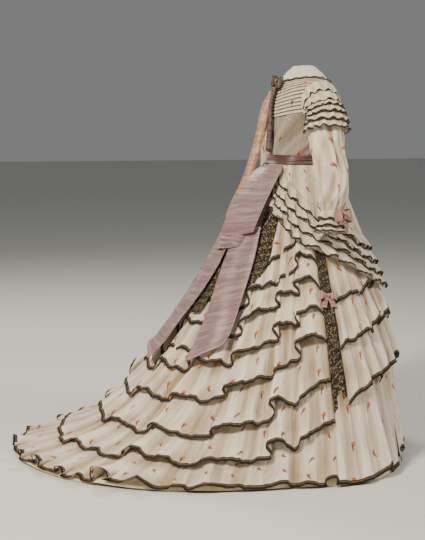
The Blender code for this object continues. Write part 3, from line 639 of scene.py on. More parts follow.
def lace_edging(name, middle, spot, cloth_colour):
    """Machine lace of black cotton over cream cloth: dark borders, and spots of open net along its middle
    that look golden brown. middle is how far down they lie, and spot is half their height."""
    made, add = new_material(name, roughness=0.75, sheen=0.1, specular=0.3)
    cut = add("ShaderNodeUVMap", uv_map="cut")[0]
    place = add("ShaderNodeSeparateXYZ", {0: cut})
    # The net's figure repeats with the scallops, once every 7.4 mm
    turn = add("ShaderNodeMath", {0: place[0], 1: 2 * np.pi / LOBE_PITCH}, operation="MULTIPLY")[0]
    swing = add("ShaderNodeMath", {0: turn}, operation="SINE")[0]
    centred = add("ShaderNodeMath", {0: place[1], 1: middle}, operation="ADD")[0]
    beside = add("ShaderNodeMath", {0: centred}, operation="ABSOLUTE")[0]
    away = add("ShaderNodeMath", {0: swing, 1: spot * 0.75, 2: beside}, operation="MULTIPLY_ADD")[0]
    open_net = add("ShaderNodeMapRange",
                   {"Value": away, "From Min": spot * 0.75, "From Max": spot * 0.3, "To Min": 0.0,
                    "To Max": 1.0})[0]
    broken = add("ShaderNodeTexNoise", {"Vector": cut, "Scale": 420.0, "Detail": 1.0})[0]
    holes = add("ShaderNodeMapRange", {"Value": broken, "From Min": 0.30, "From Max": 0.50})[0]
    seen = add("ShaderNodeMath", {0: holes, 1: open_net}, operation="MULTIPLY")[0]
    colour = add("ShaderNodeMix", {0: seen, 6: linear("#131110"), 7: linear(cloth_colour)},
                 data_type="RGBA")[2]
    return finished(made, colour, broken, 0.6, 0.001)


def leaf_lace():
    """Black lace over cream cloth, with pairs of leaves worked close along a stem and a net round them."""
    made, add = new_material("black_leaf_lace", roughness=0.75, sheen=0.1, specular=0.3)
    cut = add("ShaderNodeUVMap", uv_map="cut")[0]
    # A pair of leaves takes 36 mm across and 30 mm down
    cells = add("ShaderNodeVectorMath", {0: cut, 1: (1 / 0.036, 1 / 0.030, 0)}, operation="MULTIPLY")[0]
    inside = add("ShaderNodeVectorMath", {0: cells}, operation="FRACTION")[0]
    centred = add("ShaderNodeVectorMath", {0: inside, 1: (0.5, 0.5, 0)}, operation="SUBTRACT")[0]
    place = add("ShaderNodeSeparateXYZ", {0: centred})
    beside = add("ShaderNodeMath", {0: place[0]}, operation="ABSOLUTE")[0]
    mirrored = add("ShaderNodeCombineXYZ", {0: beside, 1: place[1]})[0]
    leaning = add("ShaderNodeMapping",
                  {"Vector": mirrored, "Location": (0.0, 0.28, 0), "Rotation": (0, 0, 0.85),
                   "Scale": (4.6, 9.0, 1)})[0]
    shifted = add("ShaderNodeVectorMath", {0: leaning, 1: (1.15, 0.0, 0)}, operation="SUBTRACT")[0]
    away = add("ShaderNodeVectorMath", {0: shifted}, operation="LENGTH")["Value"]
    rim = add("ShaderNodeMath", {0: away, 1: 0.95}, operation="SUBTRACT")[0]
    from_rim = add("ShaderNodeMath", {0: rim}, operation="ABSOLUTE")[0]
    leaf = add("ShaderNodeMapRange", {"Value": from_rim, "From Min": 0.11, "From Max": 0.21})[0]
    stem = add("ShaderNodeMapRange", {"Value": beside, "From Min": 0.07, "From Max": 0.04})[0]
    net = add("ShaderNodeTexVoronoi", {"Vector": cut, "Scale": 330.0},
              feature="DISTANCE_TO_EDGE")["Distance"]
    thread = add("ShaderNodeMapRange", {"Value": net, "From Min": 0.10, "From Max": 0.05, "To Max": 0.7})[0]
    worked = add("ShaderNodeMath", {0: leaf, 1: stem}, operation="MAXIMUM")[0]
    spots = add("ShaderNodeTexNoise", {"Vector": cut, "Scale": 160.0, "Detail": 1.0})[0]
    shows = add("ShaderNodeMapRange", {"Value": spots, "From Min": 0.62, "From Max": 0.56})[0]
    ground = add("ShaderNodeMath", {0: worked, 1: shows}, operation="MULTIPLY")[0]
    black = add("ShaderNodeMath", {0: ground, 1: thread}, operation="MAXIMUM")[0]
    colour = add("ShaderNodeMix", {0: black, 6: linear("#a08a5e"), 7: linear("#100e0d")},
                 data_type="RGBA")[2]
    return finished(made, colour, black, 0.5, 0.0012)


def ribbon_silk(name, low, high, roughness, rib_mm, crease):
    """Silk woven with fine ribs across its length: a soft gloss along the folds and small creases, and a
    painted sheen that lightens the creases' ridges.
    """
    made, add = new_material(name, roughness=roughness, sheen=0.25, specular=0.45)
    cut = add("ShaderNodeUVMap", uv_map="cut")[0]
    place = add("ShaderNodeSeparateXYZ", {0: cut})
    turn = add("ShaderNodeMath", {0: place[1], 1: 2000 * np.pi / rib_mm}, operation="MULTIPLY")[0]
    rib = add("ShaderNodeMath", {0: turn}, operation="SINE")[0]
    stretched = add("ShaderNodeVectorMath", {0: cut, 1: (7, 85, 1)}, operation="MULTIPLY")[0]
    creases = add("ShaderNodeTexNoise",
                  {"Vector": stretched, "Scale": 1.0, "Detail": 3.0, "Roughness": 0.5, "Distortion": 0.4})[0]
    # Painted sheen: the colour goes from low to high on the raised creases
    painted_sheen = add("ShaderNodeMapRange", {"Value": creases, "From Min": 0.42, "From Max": 0.74})[0]
    colour = add("ShaderNodeMix", {0: painted_sheen, 6: linear(low), 7: linear(high)}, data_type="RGBA")[2]
    relief = add("ShaderNodeMath", {0: rib, 1: 0.03, 2: creases}, operation="MULTIPLY_ADD")[0]
    return finished(made, colour, relief, crease, 0.004)


# The low colours are painted shade, darkest for the tucks' painted shadows, and the high colours painted
# light
MUSLIN = printed_muslin("printed_cotton_muslin", "#94794c", "#fbf3e4")
PLAIN_MUSLIN = printed_muslin("plain_cotton_muslin", "#c2b08c", "#f1eadb", printed=False)
LINED_MUSLIN = printed_muslin("muslin_over_beige_lining", "#55504a", "#a89f93")
TUCKED_MUSLIN = printed_muslin("tucked_cotton_muslin", "#4f4029", "#efe7d8")
PETTICOAT = printed_muslin("cream_cotton_petticoat", "#c4ae80", "#f0e2bf", printed=False)
EDGING = lace_edging("black_lace_edging", 0.0050, 0.0020, "#8f7240")
NARROW_EDGING = lace_edging("narrow_black_lace_edging", 0.0022, 0.0012, "#8d7448")
LEAF_LACE = leaf_lace()
SASH_SILK = ribbon_silk("mauve_ribbed_silk", "#7c6264", "#a58b87", 0.42, 1.4, 0.32)
DARK_RIBBON = ribbon_silk("dark_mauve_ribbon", "#33201f", "#7a5650", 0.36, 1.2, 0.6)
PEACH_RIBBON = ribbon_silk("peach_satin_ribbon", "#9f7355", "#c59c7f", 0.33, 1.0, 0.5)
PINK_RIBBON = ribbon_silk("pink_satin_ribbon", "#8f6457", "#c99e8c", 0.35, 1.0, 0.6)


# Lace edgings

def lobe_tree():
    """Sets a small flat lobe at every step along a line, each standing square to the edge."""
    tree = bpy.data.node_groups.new("lace_lobes", "GeometryNodeTree")
    for name, kind in (("Line", "Geometry"), ("Pitch", "Float"), ("Radius", "Float"),
                       ("Thickness", "Float"), ("Finish", "Material")):
        tree.interface.new_socket(name, in_out="INPUT", socket_type="NodeSocket" + kind)
    tree.interface.new_socket("Lobes", in_out="OUTPUT", socket_type="NodeSocketGeometry")
    add = partial(add_node, tree)
    given = add("NodeGroupInput")
    curve = add("GeometryNodeMeshToCurve", {0: given["Line"]})[0]
    steps = add("GeometryNodeResampleCurve", {"Curve": curve, "Length": given["Pitch"]}, mode="LENGTH")[0]
    face = add("GeometryNodeInputNamedAttribute", {"Name": "face"}, data_type="FLOAT_VECTOR")[0]
    tangent = add("GeometryNodeInputTangent")[0]
    turn = add("FunctionNodeAxesToRotation", {0: face, 1: tangent}, primary_axis="Z", secondary_axis="X")[0]
    size = {"Vertices": LOBE_CORNERS, "Radius": given["Radius"], "Depth": given["Thickness"]}
    lobe = add("GeometryNodeMeshCylinder", size, fill_type="NGON")[0]
    row = add("GeometryNodeInstanceOnPoints", {"Points": steps, "Instance": lobe, "Rotation": turn})[0]
    plain = add("GeometryNodeRealizeInstances", {0: row})[0]
    finished_row = add("GeometryNodeSetMaterial", {"Geometry": plain, "Material": given["Finish"]})[0]
    add("NodeGroupOutput", {0: finished_row})
    return tree


LOBES = lobe_tree()


def edging(name, band, face, finish, closed=False, flip=False, scale=1.0):
    """A lace edging: a band over the cloth's edge, its rows from the top down, and lobes along its foot.
    face holds the outward direction at each column."""
    strip = cloth(name, band, finish, closed=closed, flip=flip, thickness=LACE_THICK)
    foot = band[-1] - (0, 0, HOLD_HEIGHT)
    count = len(foot)
    pairs = [(k, (k + 1) % count) for k in range(count if closed else count - 1)]
    mesh = bpy.data.meshes.new(name + "_foot")
    mesh.from_pydata(foot, pairs, [])
    attribute = mesh.attributes.new("face", "FLOAT_VECTOR", "POINT")
    attribute.data.foreach_set("vector", np.asarray(face, np.float32).ravel())
    line = bpy.data.objects.new(name + "_lobes", mesh)
    bpy.context.scene.collection.objects.link(line)
    row = line.modifiers.new("lobes", "NODES")
    row.node_group = LOBES
    given = {"Pitch": LOBE_PITCH * scale, "Radius": LOBE_RADIUS * scale,
             "Thickness": LOBE_THICK, "Finish": finish}
    for item in LOBES.interface.items_tree:
        if item.in_out == "INPUT" and item.name in given:
            row[item.identifier] = given[item.name]
    piece = join([strip, line], name)
    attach(piece, "root")
    return piece


def facing(points):
    """The direction square to a cloth's last row, from its last two rows."""
    return unit(np.cross(points[-1] - points[-2], np.gradient(points[-1], axis=0)))


def edged(name, at, points, heights, lift, finish, face=1, **shape):
    """A lace edging over the foot of a ruffle. heights says how far over the foot each of its rows lies, and
    at gives the ruffle's points from how far down they are and their lift."""
    deep = np.linalg.norm(points[-1] - points[0], axis=-1)
    band = at(1 - np.array(heights)[:, None] / deep, lift)
    return edging(name + "_lace", band, facing(band) * face, finish, **shape)


def down_rows(rows, columns):
    """How far down each point of a cloth lies, from 0 at its top to 1 at its foot."""
    return np.linspace(0, 1, rows)[:, None] * np.ones(columns)


# Flounces

def columns_between(first, last, step, table=()):
    """The columns of a stretch of the skirt, closer together where its deep folds lap over and it curls."""
    places = [np.arange(first, last, step), [last]]
    for angle, half, *_ in table:
        reach = np.degrees(half / np.hypot(*skirt_plain(np.array(0.98), np.array(float(angle)))[:2]))
        places.append(angle + np.linspace(-reach, reach, CURL_COLUMNS))
    for edge, sense, table in ((BACK_EDGE, 1, BACK_LAPS), (FRONT_EDGE, -1, FRONT_LAPS)):
        for hand in (1, -1):
            for lap in table[hand]:
                middle = hand * (edge + sense * lap)
                for place in (middle, middle + 360):
                    if first < place < last:
                        places.append(place + np.linspace(-LAP_WIDTH / 2, LAP_WIDTH / 2, LAP_COLUMNS))
    merged = np.unique(np.round(np.concatenate(places), 4))
    merged = merged[(merged >= first) & (merged <= last)]
    return merged[np.r_[True, np.diff(merged) > LEAST_STEP]]


def curls(angles, along, table):
    """The waves and round loops of an edge: how high it stands, and how far its sides swing, in metres."""
    height, swung = np.zeros(len(along)), np.zeros(len(along))
    for angle, half, high, rounded in table:
        # A loop's neck opens 35 degrees to either side of its foot
        radius, foot, neck = 0.55 * high, 0.18, 35.0
        place = (along - np.interp(angle, angles, along)) / (2 * half) + 0.5
        inside = (place > 0) & (place < 1)
        if not rounded:
            height += np.where(inside, high * np.sin(np.pi * place) ** 2, 0)
            continue
        turn = np.radians(glide((0, foot, 1 - foot, 1), (neck, neck, 360 - neck, 360 - neck), place))
        round_x, round_z = -radius * np.sin(turn), 0.45 * high - radius * np.cos(turn)
        near = half - radius * np.sin(np.radians(neck))
        flat_x = np.interp(place, (0, foot, 1 - foot, 1), (-half, near - half, half - near, half))
        looped = (place > foot) & (place < 1 - foot)
        across = np.where(looped, round_x, flat_x)
        height += np.where(inside, np.where(looped, np.maximum(round_z, 0), 0), 0)
        swung += np.where(inside, across - (place - 0.5) * 2 * half, 0)
    return height, swung


def flounce_surface(angles, strengths, top, bottom, stand, flute, width, seed, tuck=0.038, foot=0.0, table=(),
                    uneven=1.0):
    """A function that gives a flounce's points from how far down they are and their lift, and each column's
    painted shade: light on the brinks of the deep folds and the wave crests, with a painted shadow behind
    each lap."""
    up, _, _ = laps(angles, strengths)
    lapped = LAP_EDGE_RISE * (0.25 - up) * smooth((edge_share(bottom, angles) - 0.18) / 0.15)
    start = edge_share(top, angles) - (tuck if top != "hip" else 0)
    if bottom == "hem":
        lapped = (lapped - 0.25 * LAP_EDGE_RISE) * np.where(around(angles) < 95, 0.45, 0.12)
    end = edge_share(bottom, angles) + lapped - foot
    line = skirt_plain(edge_share(bottom, angles), angles)
    along, reach = run(line), np.hypot(line[:, 0], line[:, 1])
    large, place = waves(along, width, seed)
    # The flutes are flatter on the train, and deeper at the front of the hem
    flute = flute * mix(1, 0.62, smooth((around(angles) - 138) / 22))
    if bottom == "hem":
        flute = flute * mix(2.3, 1, smooth((around(angles) - 55) / 30))
    small, _ = waves(along, width * 0.36, seed + 31)
    gathers, _ = waves(along, 0.013, seed + 57, 0.6)
    drawn, swung = curls(angles, along, table)
    lying = smooth((around(angles) - 105) / 40)
    slack, _ = waves(along, width * 1.7, seed + 77, 0.6)
    drawn_up = uneven * (0.006 * large + 0.010 * slack - 0.006 + 0.003 * small)
    sideways = np.degrees((0.05 * width * np.sin(4 * np.pi * place) * large) / reach)
    curled = np.degrees(swung / reach)

    def at(down, lift):
        """down has a row for each row of points, and holds 0 at the seam and 1 at the edge."""
        free = np.maximum(down, 0) ** 3
        share = mix(start, end - drawn_up, down) - mix(0.55, 0.25, lying) * drawn * free
        swing = np.maximum(down, 0) ** 1.25
        drawn_in = 0.0024 * gathers * (1.05 - np.minimum(down, 1)) ** 0.6
        waved = flute * large * swing + 0.30 * flute * small * swing + drawn_in
        # A row above and one below, so that the cloth and its lace have the same creases
        whole = np.concatenate([down[:1] * 0 - 0.2, down, down[:1] * 0 + 1.2])
        soft = crumple(along, whole * 0.12, 0.045, 0.035, seed + 5)[1:-1]
        fine = crumple(along + whole * 0.03, whole * 0.12, 0.016, 0.05, seed + 6)[1:-1]
        soft = (0.0026 * soft + 0.0010 * fine) * smooth(down * 3)
        lifted = 0.0021 + stand * swing + waved + soft + mix(0.35, 0.90, lying) * drawn * free + lift
        loose = 0.25 + 0.75 * smooth(down)
        return skirt(share, angles + sideways * swing + curled * free, lifted, strengths, loose)[0]
    # Painted shadow just behind each lap, and painted light on the brinks and the wave crests
    behind = np.exp(-up / 0.12) * (up > 0)
    return at, 0.60 + 0.22 * up + 0.52 * (large - 0.4) + 0.20 * (small - 0.4) - 0.30 * behind


def flounce(name, angles, top, bottom, rows, closed=False, **shape):
    at, fold = flounce_surface(angles, STRENGTHS[name], top, bottom, **shape)
    down = down_rows(rows, len(angles))
    points = at(down, 0.0)
    cloudy = crumple(np.arange(len(angles)), down * 30, 16, 9, shape["seed"] + 200)
    # Painted shade: darker at the seam, in the shadow of the flounce above, and lighter at the foot
    shade = fold + 0.22 * cloudy - 0.26 * (1 - smooth(down / 0.5)) + 0.14 * smooth((down - 0.8) / 0.2)
    piece = cloth(name + "_cloth", points, MUSLIN, closed=closed, fold=np.clip(shade, 0, 1))
    trim = edged(name, at, points, BROAD_ROWS, 0.0011, EDGING, closed=closed)
    sheet_for(piece, name)


def back_flounces():
    names = ["hip"] + [f"back_{k}" for k in range(1, 8)]
    # How far the edge stands out, the depth of its flutes and their width, from the top flounce down
    table = ((0.004, 0.006, 0.055), (0.004, 0.007, 0.060), (0.005, 0.009, 0.065), (0.008, 0.013, 0.075),
             (0.010, 0.015, 0.080), (0.010, 0.016, 0.090), (0.009, 0.017, 0.095))
    angles = columns_between(BACK_EDGE, 360 - BACK_EDGE, 0.50)
    for k, (stand, flute, width) in enumerate(table):
        flounce(f"back_flounce_{k + 1}", angles, names[k], names[k + 1], 13 if k else 16,
                stand=stand, flute=flute, width=width, seed=11 + k)


def front_flounces():
    table = (("back_2", "back_3", 0.005, 0.008), ("back_3", "back_5", 0.008, 0.012),
             ("back_5", "back_7", 0.009, 0.020))
    angles = columns_between(-FRONT_EDGE, FRONT_EDGE, 0.70)
    for k, (top, bottom, stand, flute) in enumerate(table):
        flounce(f"front_flounce_{k + 1}", angles, top, bottom, 15,
                stand=stand, flute=flute, width=0.06, seed=31 + k)


def hem_flounce():
    angles = columns_between(-180, 180, 0.60, HEM_CURLS)[:-1]
    flounce("hem_flounce", angles, "back_7", "hem", 19, closed=True, stand=0.004, flute=0.012, width=0.10,
            seed=41, foot=0.002, table=HEM_CURLS, uneven=0.62)


def underskirt():
    angles = columns_between(-180, 180, 1.5)[:-1]
    share = np.r_[np.linspace(0, 0.9, 19), np.linspace(0.92, 1, 7)][:, None] * np.ones(len(angles))
    points, up = skirt(share, angles, 0.0, STRENGTHS["hem_flounce"], smooth((share - 0.90) / 0.10))
    # The fold attribute is a painted shade, lighter on the brinks of the deep folds
    piece = cloth("underskirt_cloth", points, PETTICOAT, closed=True, fold=0.7 + 0.3 * up)
    sheet_for(piece, "underskirt")


# Apron

def apron_columns(step=0.65):
    return np.arange(-APRON_CORNER, APRON_CORNER + step / 2, step)


# The apron lies on the brinks of the folds below it, so it has only soft ones of its own
apron_surface = spanned(APRON_SPAN)


def apron():
    angles = apron_columns()
    end = apron_share("ruffle_4", angles) - 0.008
    share = np.linspace(0, 1, 34)[:, None] * end
    along = run(skirt_plain(end, angles))
    broad, _ = waves(along, 0.085, 61)
    gathers, _ = waves(along, 0.021, 62, 0.6)
    waist = np.exp(-share / 0.06)
    drawn = crumple(along + share * 0.5, share, 0.06, 0.09, 63)
    folds = 0.006 * broad * smooth(share / 0.1) + 0.0035 * gathers * waist
    folds = folds + 0.002 * drawn * smooth(share / 0.05)
    points = apron_surface(share, angles, apron_rise(share) - LAYER + folds)
    # Painted shade: lighter on the crests of the broad waves and the drawn creases
    piece = cloth("apron_cloth", points, MUSLIN, fold=np.clip(0.45 + 0.5 * broad + 0.2 * drawn, 0, 1))
    sheet_for(piece, "apron")


def apron_ruffles():
    names = ("seam", "ruffle_1", "ruffle_2", "ruffle_3", "ruffle_4")
    angles = apron_columns(0.55)
    for k in range(4):
        seed = 70 + k
        start = apron_share(names[k], angles) - 0.010
        end = apron_share(names[k + 1], angles)
        along = run(skirt_plain(end, angles))
        large, place = waves(along, 0.062, seed)
        small, _ = waves(along, 0.024, seed + 9)
        gathers, _ = waves(along, 0.010, seed + 19, 0.6)

        def at(down, lift, start=start, end=end, large=large, small=small, gathers=gathers, place=place):
            swing = np.maximum(down, 0)
            share = mix(start, end - 0.010 * large - 0.003 * small, down)
            share = np.maximum(share, 0)
            # The waves are lower towards the apron's ends
            calm = 0.25 + 0.75 * smooth((APRON_CORNER - around(angles)) / 9)
            drawn_in = 0.0016 * gathers * (1.05 - np.minimum(down, 1))
            waved = (0.0100 * large + 0.003 * small) * swing * calm + drawn_in
            rise = apron_rise(share) + LAYER + 0.0010 + 0.0050 * swing
            turned = angles + 2.2 * np.sin(4 * np.pi * place) * large * swing
            return apron_surface(share, turned, rise + waved + lift)
        down = down_rows(7, len(angles))
        points = at(down, 0.0)
        name = f"apron_ruffle_{k + 1}"
        # Painted shade: lighter on the crests of the waves
        piece = cloth(name + "_cloth", points, MUSLIN, fold=np.broadcast_to(0.55 + 0.45 * large, down.shape))
        trim = edged(name, at, points, NARROW_ROWS, 0.0011, NARROW_EDGING, scale=0.75)
        sheet_for(piece, name)


# Bodice

def armhole_edge(share):
    rise = (share - ARMHOLE_MIDDLE) / ARMHOLE_HALF_HEIGHT
    return ARMHOLE_HALF_WIDTH * np.sqrt(np.maximum(0, 1 - rise * rise))


def bodice_panel(name, shares, columns, back, hand, finish, lifts, fold):
    """A panel from one side seam to the other at the back, or from the middle to the side at the front."""
    seam = 0.12
    reach = armhole_edge(shares)
    if back:
        first = np.where(reach > 0, np.maximum(90 + seam, ARMHOLE_ANGLE + reach), 90 + seam)
        last = 360 - first
    else:
        first = np.full(shares.shape, seam)
        last = np.where(reach > 0, np.minimum(90 - seam, ARMHOLE_ANGLE - reach), 90 - seam)
        if hand < 0:
            first, last = -last, -first
    shares = shares[:, None]
    angles = mix(first[:, None], last[:, None], np.linspace(0, 1, columns))
    points = bodice(shares, angles, 0.0006 + lifts(shares, angles))
    shade = fold(shares * np.ones(columns), angles)
    piece = cloth(name + "_cloth", points[::-1], finish, fold=shade[::-1])
    sheet_for(piece, name)


def bodice_panels():
    # A tuck: how far up its pitch, how far raised and its painted light, dark under the tuck above
    profile = ((0.06, 0.0030, 0.7), (0.16, 0.0034, 1.0), (0.40, 0.0024, 1.0), (0.62, 0.0014, 0.62),
               (0.80, 0.0005, 0.08), (1.0, 0.0, 0.0))
    pitch = (1 - TUCKS_START) / TUCK_COUNT
    rows = [(TUCKS_START, 0.0, 0.0)]
    for k in range(TUCK_COUNT):
        rows.extend((TUCKS_START + pitch * (k + place), raised, light) for place, raised, light in profile)
    tuck_shares, tuck_lifts, tuck_painted_lights = np.array(rows).T

    def tucked(share, angle):
        uneven = 1 + 0.25 * crumple(angle, share * 900, 9.0, 36.0, 81)
        return np.interp(share, tuck_shares, tuck_lifts) * uneven

    # The tucks' painted light, with a painted shadow under each tuck's edge
    def tuck_shade(share, angle):
        uneven = 0.9 + 0.1 * crumple(angle, share * 200, 7.0, 9.0, 83)
        return np.interp(share, tuck_shares, tuck_painted_lights) * uneven

    def dragged(share, angle):
        return 0.0032 * crumple(angle + 150 * share, share * 100, 11.0, 26.0, 82)

    # Painted shade that follows the soft drag folds
    def soft_shade(share, angle):
        return np.clip(0.62 + 0.38 * crumple(angle + 150 * share, share * 100, 13.0, 30.0, 82), 0, 1)
    bodice_panel("back_tucked", tuck_shares, 70, True, 1, TUCKED_MUSLIN, tucked, tuck_shade)
    lower = np.linspace(0, TUCKS_START - 0.003, 34)
    bodice_panel("back_lower", lower, 70, True, 1, LINED_MUSLIN, dragged, soft_shade)
    whole = np.linspace(0, 1, 60)
    for side, label in SIDES:
        bodice_panel(f"bodice_front_{label}", whole, 44, False, -side, MUSLIN, dragged, soft_shade)


def round_neck():
    over_tucks = LAYER + 0.0020 + 0.0009
    bend = np.array(((0.955, over_tucks, 0.000), (1.0, over_tucks, 0.000),
                     (1.0, 0.001, 0.022), (1.0, -0.010, 0.050)))
    places = np.linspace(0, 3, 22)
    share, lift, rise = (glide(range(4), bend[:, k], places)[:, None] for k in range(3))
    share = np.minimum(share, 1)
    angle = np.linspace(0, 360, 140, endpoint=False)
    point = bodice(share, angle, lift)
    middle = point * (0, 0, 1) + (0, 0.002, 0)
    # The collar draws in by 8.6 of its radius for each metre that it rises
    points = middle + (point - middle) * (1 - rise * 8.6)[..., None] + rise[..., None] * (0, 0, 1)
    light = np.full(points.shape[:2], 0.95)
    piece = cloth("collar_cloth", points[::-1], PLAIN_MUSLIN, closed=True, fold=light)
    sheet_for(piece, "collar")
    waved = np.radians(angle) * 17
    frill_share = np.array([0.962, 0.950, 0.940])[:, None] + 0.007 * np.sin(waved)
    band = bodice(frill_share, angle, over_tucks + LAYER + 0.0012 + 0.0008 * np.sin(waved + 1))
    trim = edging("neck_lace_cloth", band, facing(band), NARROW_EDGING, closed=True, scale=0.45)
    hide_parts("neck_lace")


def belt():
    angles = np.arange(0, 360, 2.0)
    below, above, ease = 0.012, 0.065, 0.0026
    low = raised(skirt_plain, below, angles, apron_rise(below) + LAYER + ease)
    waist = raised(skirt_plain, 0.0, angles, 2 * LAYER + ease)
    high = bodice(above, angles, LAYER + ease)
    places = np.linspace(0, 2, 15)[:, None]
    columns = np.stack([high, waist, low]).reshape(3, -1).T
    points = np.stack([glide(range(3), column, places[:, 0]) for column in columns], 1)
    points = points.reshape(len(places), len(angles), 3)
    pleat = 0.0016 * (0.5 + 0.5 * np.sin(places * 2 * np.pi * 1.6 + 0.5 * np.sin(np.radians(angles) * 3)))
    points = points + unit(points * (1, 1, 0) - (0, WAIST_BACK_SHIFT, 0)) * pleat[..., None]
    piece = cloth("belt_cloth", points, DARK_RIBBON, closed=True)
    sheet_for(piece, "belt")


# Sleeves

def sleeves():
    ring = np.linspace(0, 2 * np.pi, 97)
    turn = ring[:-1]
    row = np.r_[np.linspace(0, 1, 8)[:-1], np.linspace(1, 10, 66)][:, None]
    twist = turn + 0.16 * np.sin(row * 0.8) + 0.09 * np.sin(row * 1.9 + 2)
    twist = (twist + 0.05 * np.sin(row * 3.1 + 3 * turn)) % (2 * np.pi)
    fullness = smooth((row - 0.8) / 1.5) * smooth((8.4 - row) / 1.6)
    gathered = smooth((row - 6.4) / 1.2) * smooth((8.6 - row) / 0.8)
    for side, label in SIDES:
        seed = 90 if side < 0 else 95
        long = np.interp(twist, ring, waves(ring, 2 * np.pi / 9, seed, 0.6)[0])
        fine = np.interp(twist, ring, waves(ring, 2 * np.pi / 27, seed + 1, 0.6)[0])
        noise = crumple(turn, row, 0.7, 1.1, seed + 2)
        uneven = 0.65 + 0.5 * crumple(turn * 1.3, row, 0.9, 2.2, seed + 3)
        creased = crumple(turn + 0.5 * row, 0.5 * row, 0.30, 0.9, seed + 4)
        folds = (0.0085 * long * uneven - 0.006) * fullness
        folds = folds + 0.0022 * (fine - 0.5) * (0.5 * fullness + gathered)
        folds = folds + (0.0042 * noise + 0.0034 * creased) * fullness - 0.0012
        points = sleeve_point(row, turn, side, folds)
        # Painted shade: lighter on the ridges of the long folds and creases, darker in their hollows
        shade = np.clip(0.36 + 0.6 * long + 0.2 * fine + 0.34 * creased + 0.26 * noise, 0, 1)
        piece = cloth(f"sleeve_{label}_cloth", points, MUSLIN, closed=True, flip=side > 0, fold=shade)
        sheet_for(piece, f"sleeve_{label}")


def arm_ruffle(name, surface, turns, shape, count, side, seed, closed=False):
    """A ruffle round a sleeve, with its lace edging. surface gives a point from a row, a turn, the side and
    a lift, and shape is its first and last row, how far its foot stands out and the height of its waves."""
    start, end, spread, wave_size = shape
    span = turns[-1] - turns[0]
    ring = np.linspace(turns[0], turns[-1], len(turns) + 1) if closed else turns
    large, _ = waves(ring, span / count, seed, 0.6)
    small, _ = waves(ring, span / count / 2.6, seed + 3, 0.6)
    large, small = large[:len(turns)], small[:len(turns)]

    def at(down, lift):
        swing = np.maximum(down, 0)
        waved = spread * swing + wave_size * large * swing + 0.3 * wave_size * small * swing ** 0.5
        drawn = 0.30 * (end - start) * (large - 0.35) * swing
        return surface(mix(start, end, down) - drawn, turns, side, LAYER + (0.0012 + waved + lift))
    down = down_rows(7, len(turns))
    points = at(down, 0.0)
    sewn = {"closed": closed, "flip": side > 0}
    # Painted shade: lighter on the crests of the waves
    light = np.broadcast_to(0.45 + 0.55 * large, down.shape)
    piece = cloth(name + "_cloth", points, MUSLIN, fold=light, **sewn)
    trim = edged(name, at, points, NARROW_ROWS, 0.0010, NARROW_EDGING, face=-side, scale=0.7, **sewn)
    sheet_for(piece, name)


def shoulder_ruffles():
    turns = np.radians(np.linspace(-104, 104, 90))
    for side, label in SIDES:
        for k, shape in enumerate(SHOULDER_RUFFLES):
            arm_ruffle(f"shoulder_ruffle_{label}_{k + 1}", sleeve_point, turns, shape, 7 + k % 3, side,
                       (110 if side < 0 else 130) + k)


def cuff_ruffles():
    def surface(share, turn, side, lift):
        return sleeve(np.minimum(share, 1.02), turn, side, lift)
    turns = np.linspace(0, 2 * np.pi, 96, endpoint=False)
    for side, label in SIDES:
        for k, shape in enumerate(CUFF_RUFFLES):
            arm_ruffle(f"cuff_ruffle_{label}_{k + 1}", surface, turns, shape, 6 + k, side,
                       (150 if side < 0 else 160) + k, closed=True)


# Sash, ribbons and bows

def route_rows(route, rows):
    """A route's numbers at each of a ribbon's rows, a column for each number."""
    places = np.linspace(0, len(route) - 1, rows)
    return [glide(range(len(route)), column, places)[:, None] for column in zip(*route)]


def laid_ribbon(name, route, rows, columns, finish, surface, relief, slant=0.0, flip=False):
    """A ribbon laid along a route. relief gives its folds from how far across it they are, from -1 to 1, and
    how far along."""
    share, angle, lift, half = route_rows(route, rows)
    across = np.linspace(-1, 1, columns)
    chord = surface(share, angle + 2, lift) - surface(share, angle - 2, lift)
    reach = np.linalg.norm(chord, axis=-1) / np.radians(4)
    turned = angle + np.degrees(across * half / reach)
    down = np.linspace(0, 1, rows)[:, None]
    points = surface(share + down ** 6 * slant * across, turned, lift + relief(across, down))
    piece = cloth(name + "_cloth", points, finish, flip=flip, thickness=RIBBON_THICK)
    sheet_for(piece, name)


def crosswise(seed, size, folds=2.0, cells=26):
    """Relief of crumpled silk: small ridges across it, soft folds along it and edges that curl a little."""
    def relief(across, down):
        ridges = crumple(across, down, 0.9, 1.0 / cells, seed)
        fine = crumple(across, down, 0.35, 0.45 / cells, seed + 1)
        long = np.sin(np.pi * folds * across + 1.3 * np.sin(down * 5 + seed)) * 0.5
        return size * (0.8 * np.abs(ridges) + 0.25 * fine + 2.0 * long) + 0.002 * across ** 4
    return relief


def sash():
    over_folds, over_form = spanned(RIBBON_SPAN), spanned(LOOP_SPAN)
    laid_ribbon("sash_loop", LOOP_ROUTE, 120, 34, SASH_SILK, over_form, crosswise(171, 0.0022, 1.2, 40))
    laid_ribbon("sash_knot", KNOT_ROUTE, 34, 70, SASH_SILK, over_form, knot_relief)
    for name, route, seed, folds, slant in (("sash_tail_right", RIGHT_TAIL, 173, 1.6, 0.020),
                                            ("sash_tail_left", LEFT_TAIL, 176, 1.4, -0.020)):
        laid_ribbon(name, route, 100, 30, SASH_SILK, over_folds, crosswise(seed, 0.0023, folds, 30),
                    slant)
    for name, route in SASH_LACE.items():
        laid_ribbon(name, route, 50, 16, LEAF_LACE, over_folds,
                    lambda across, down: 0.0015 * np.cos(np.pi * across) - 0.004)


def knot_relief(across, down):
    pleats = np.abs(np.sin(np.pi * (3.2 * down + 0.5 * across)))
    creased = 0.002 * crumple(across, down, 0.12, 0.3, 181)
    return 0.006 * pleats + creased + 0.001 - 0.022 * np.abs(across) ** 5


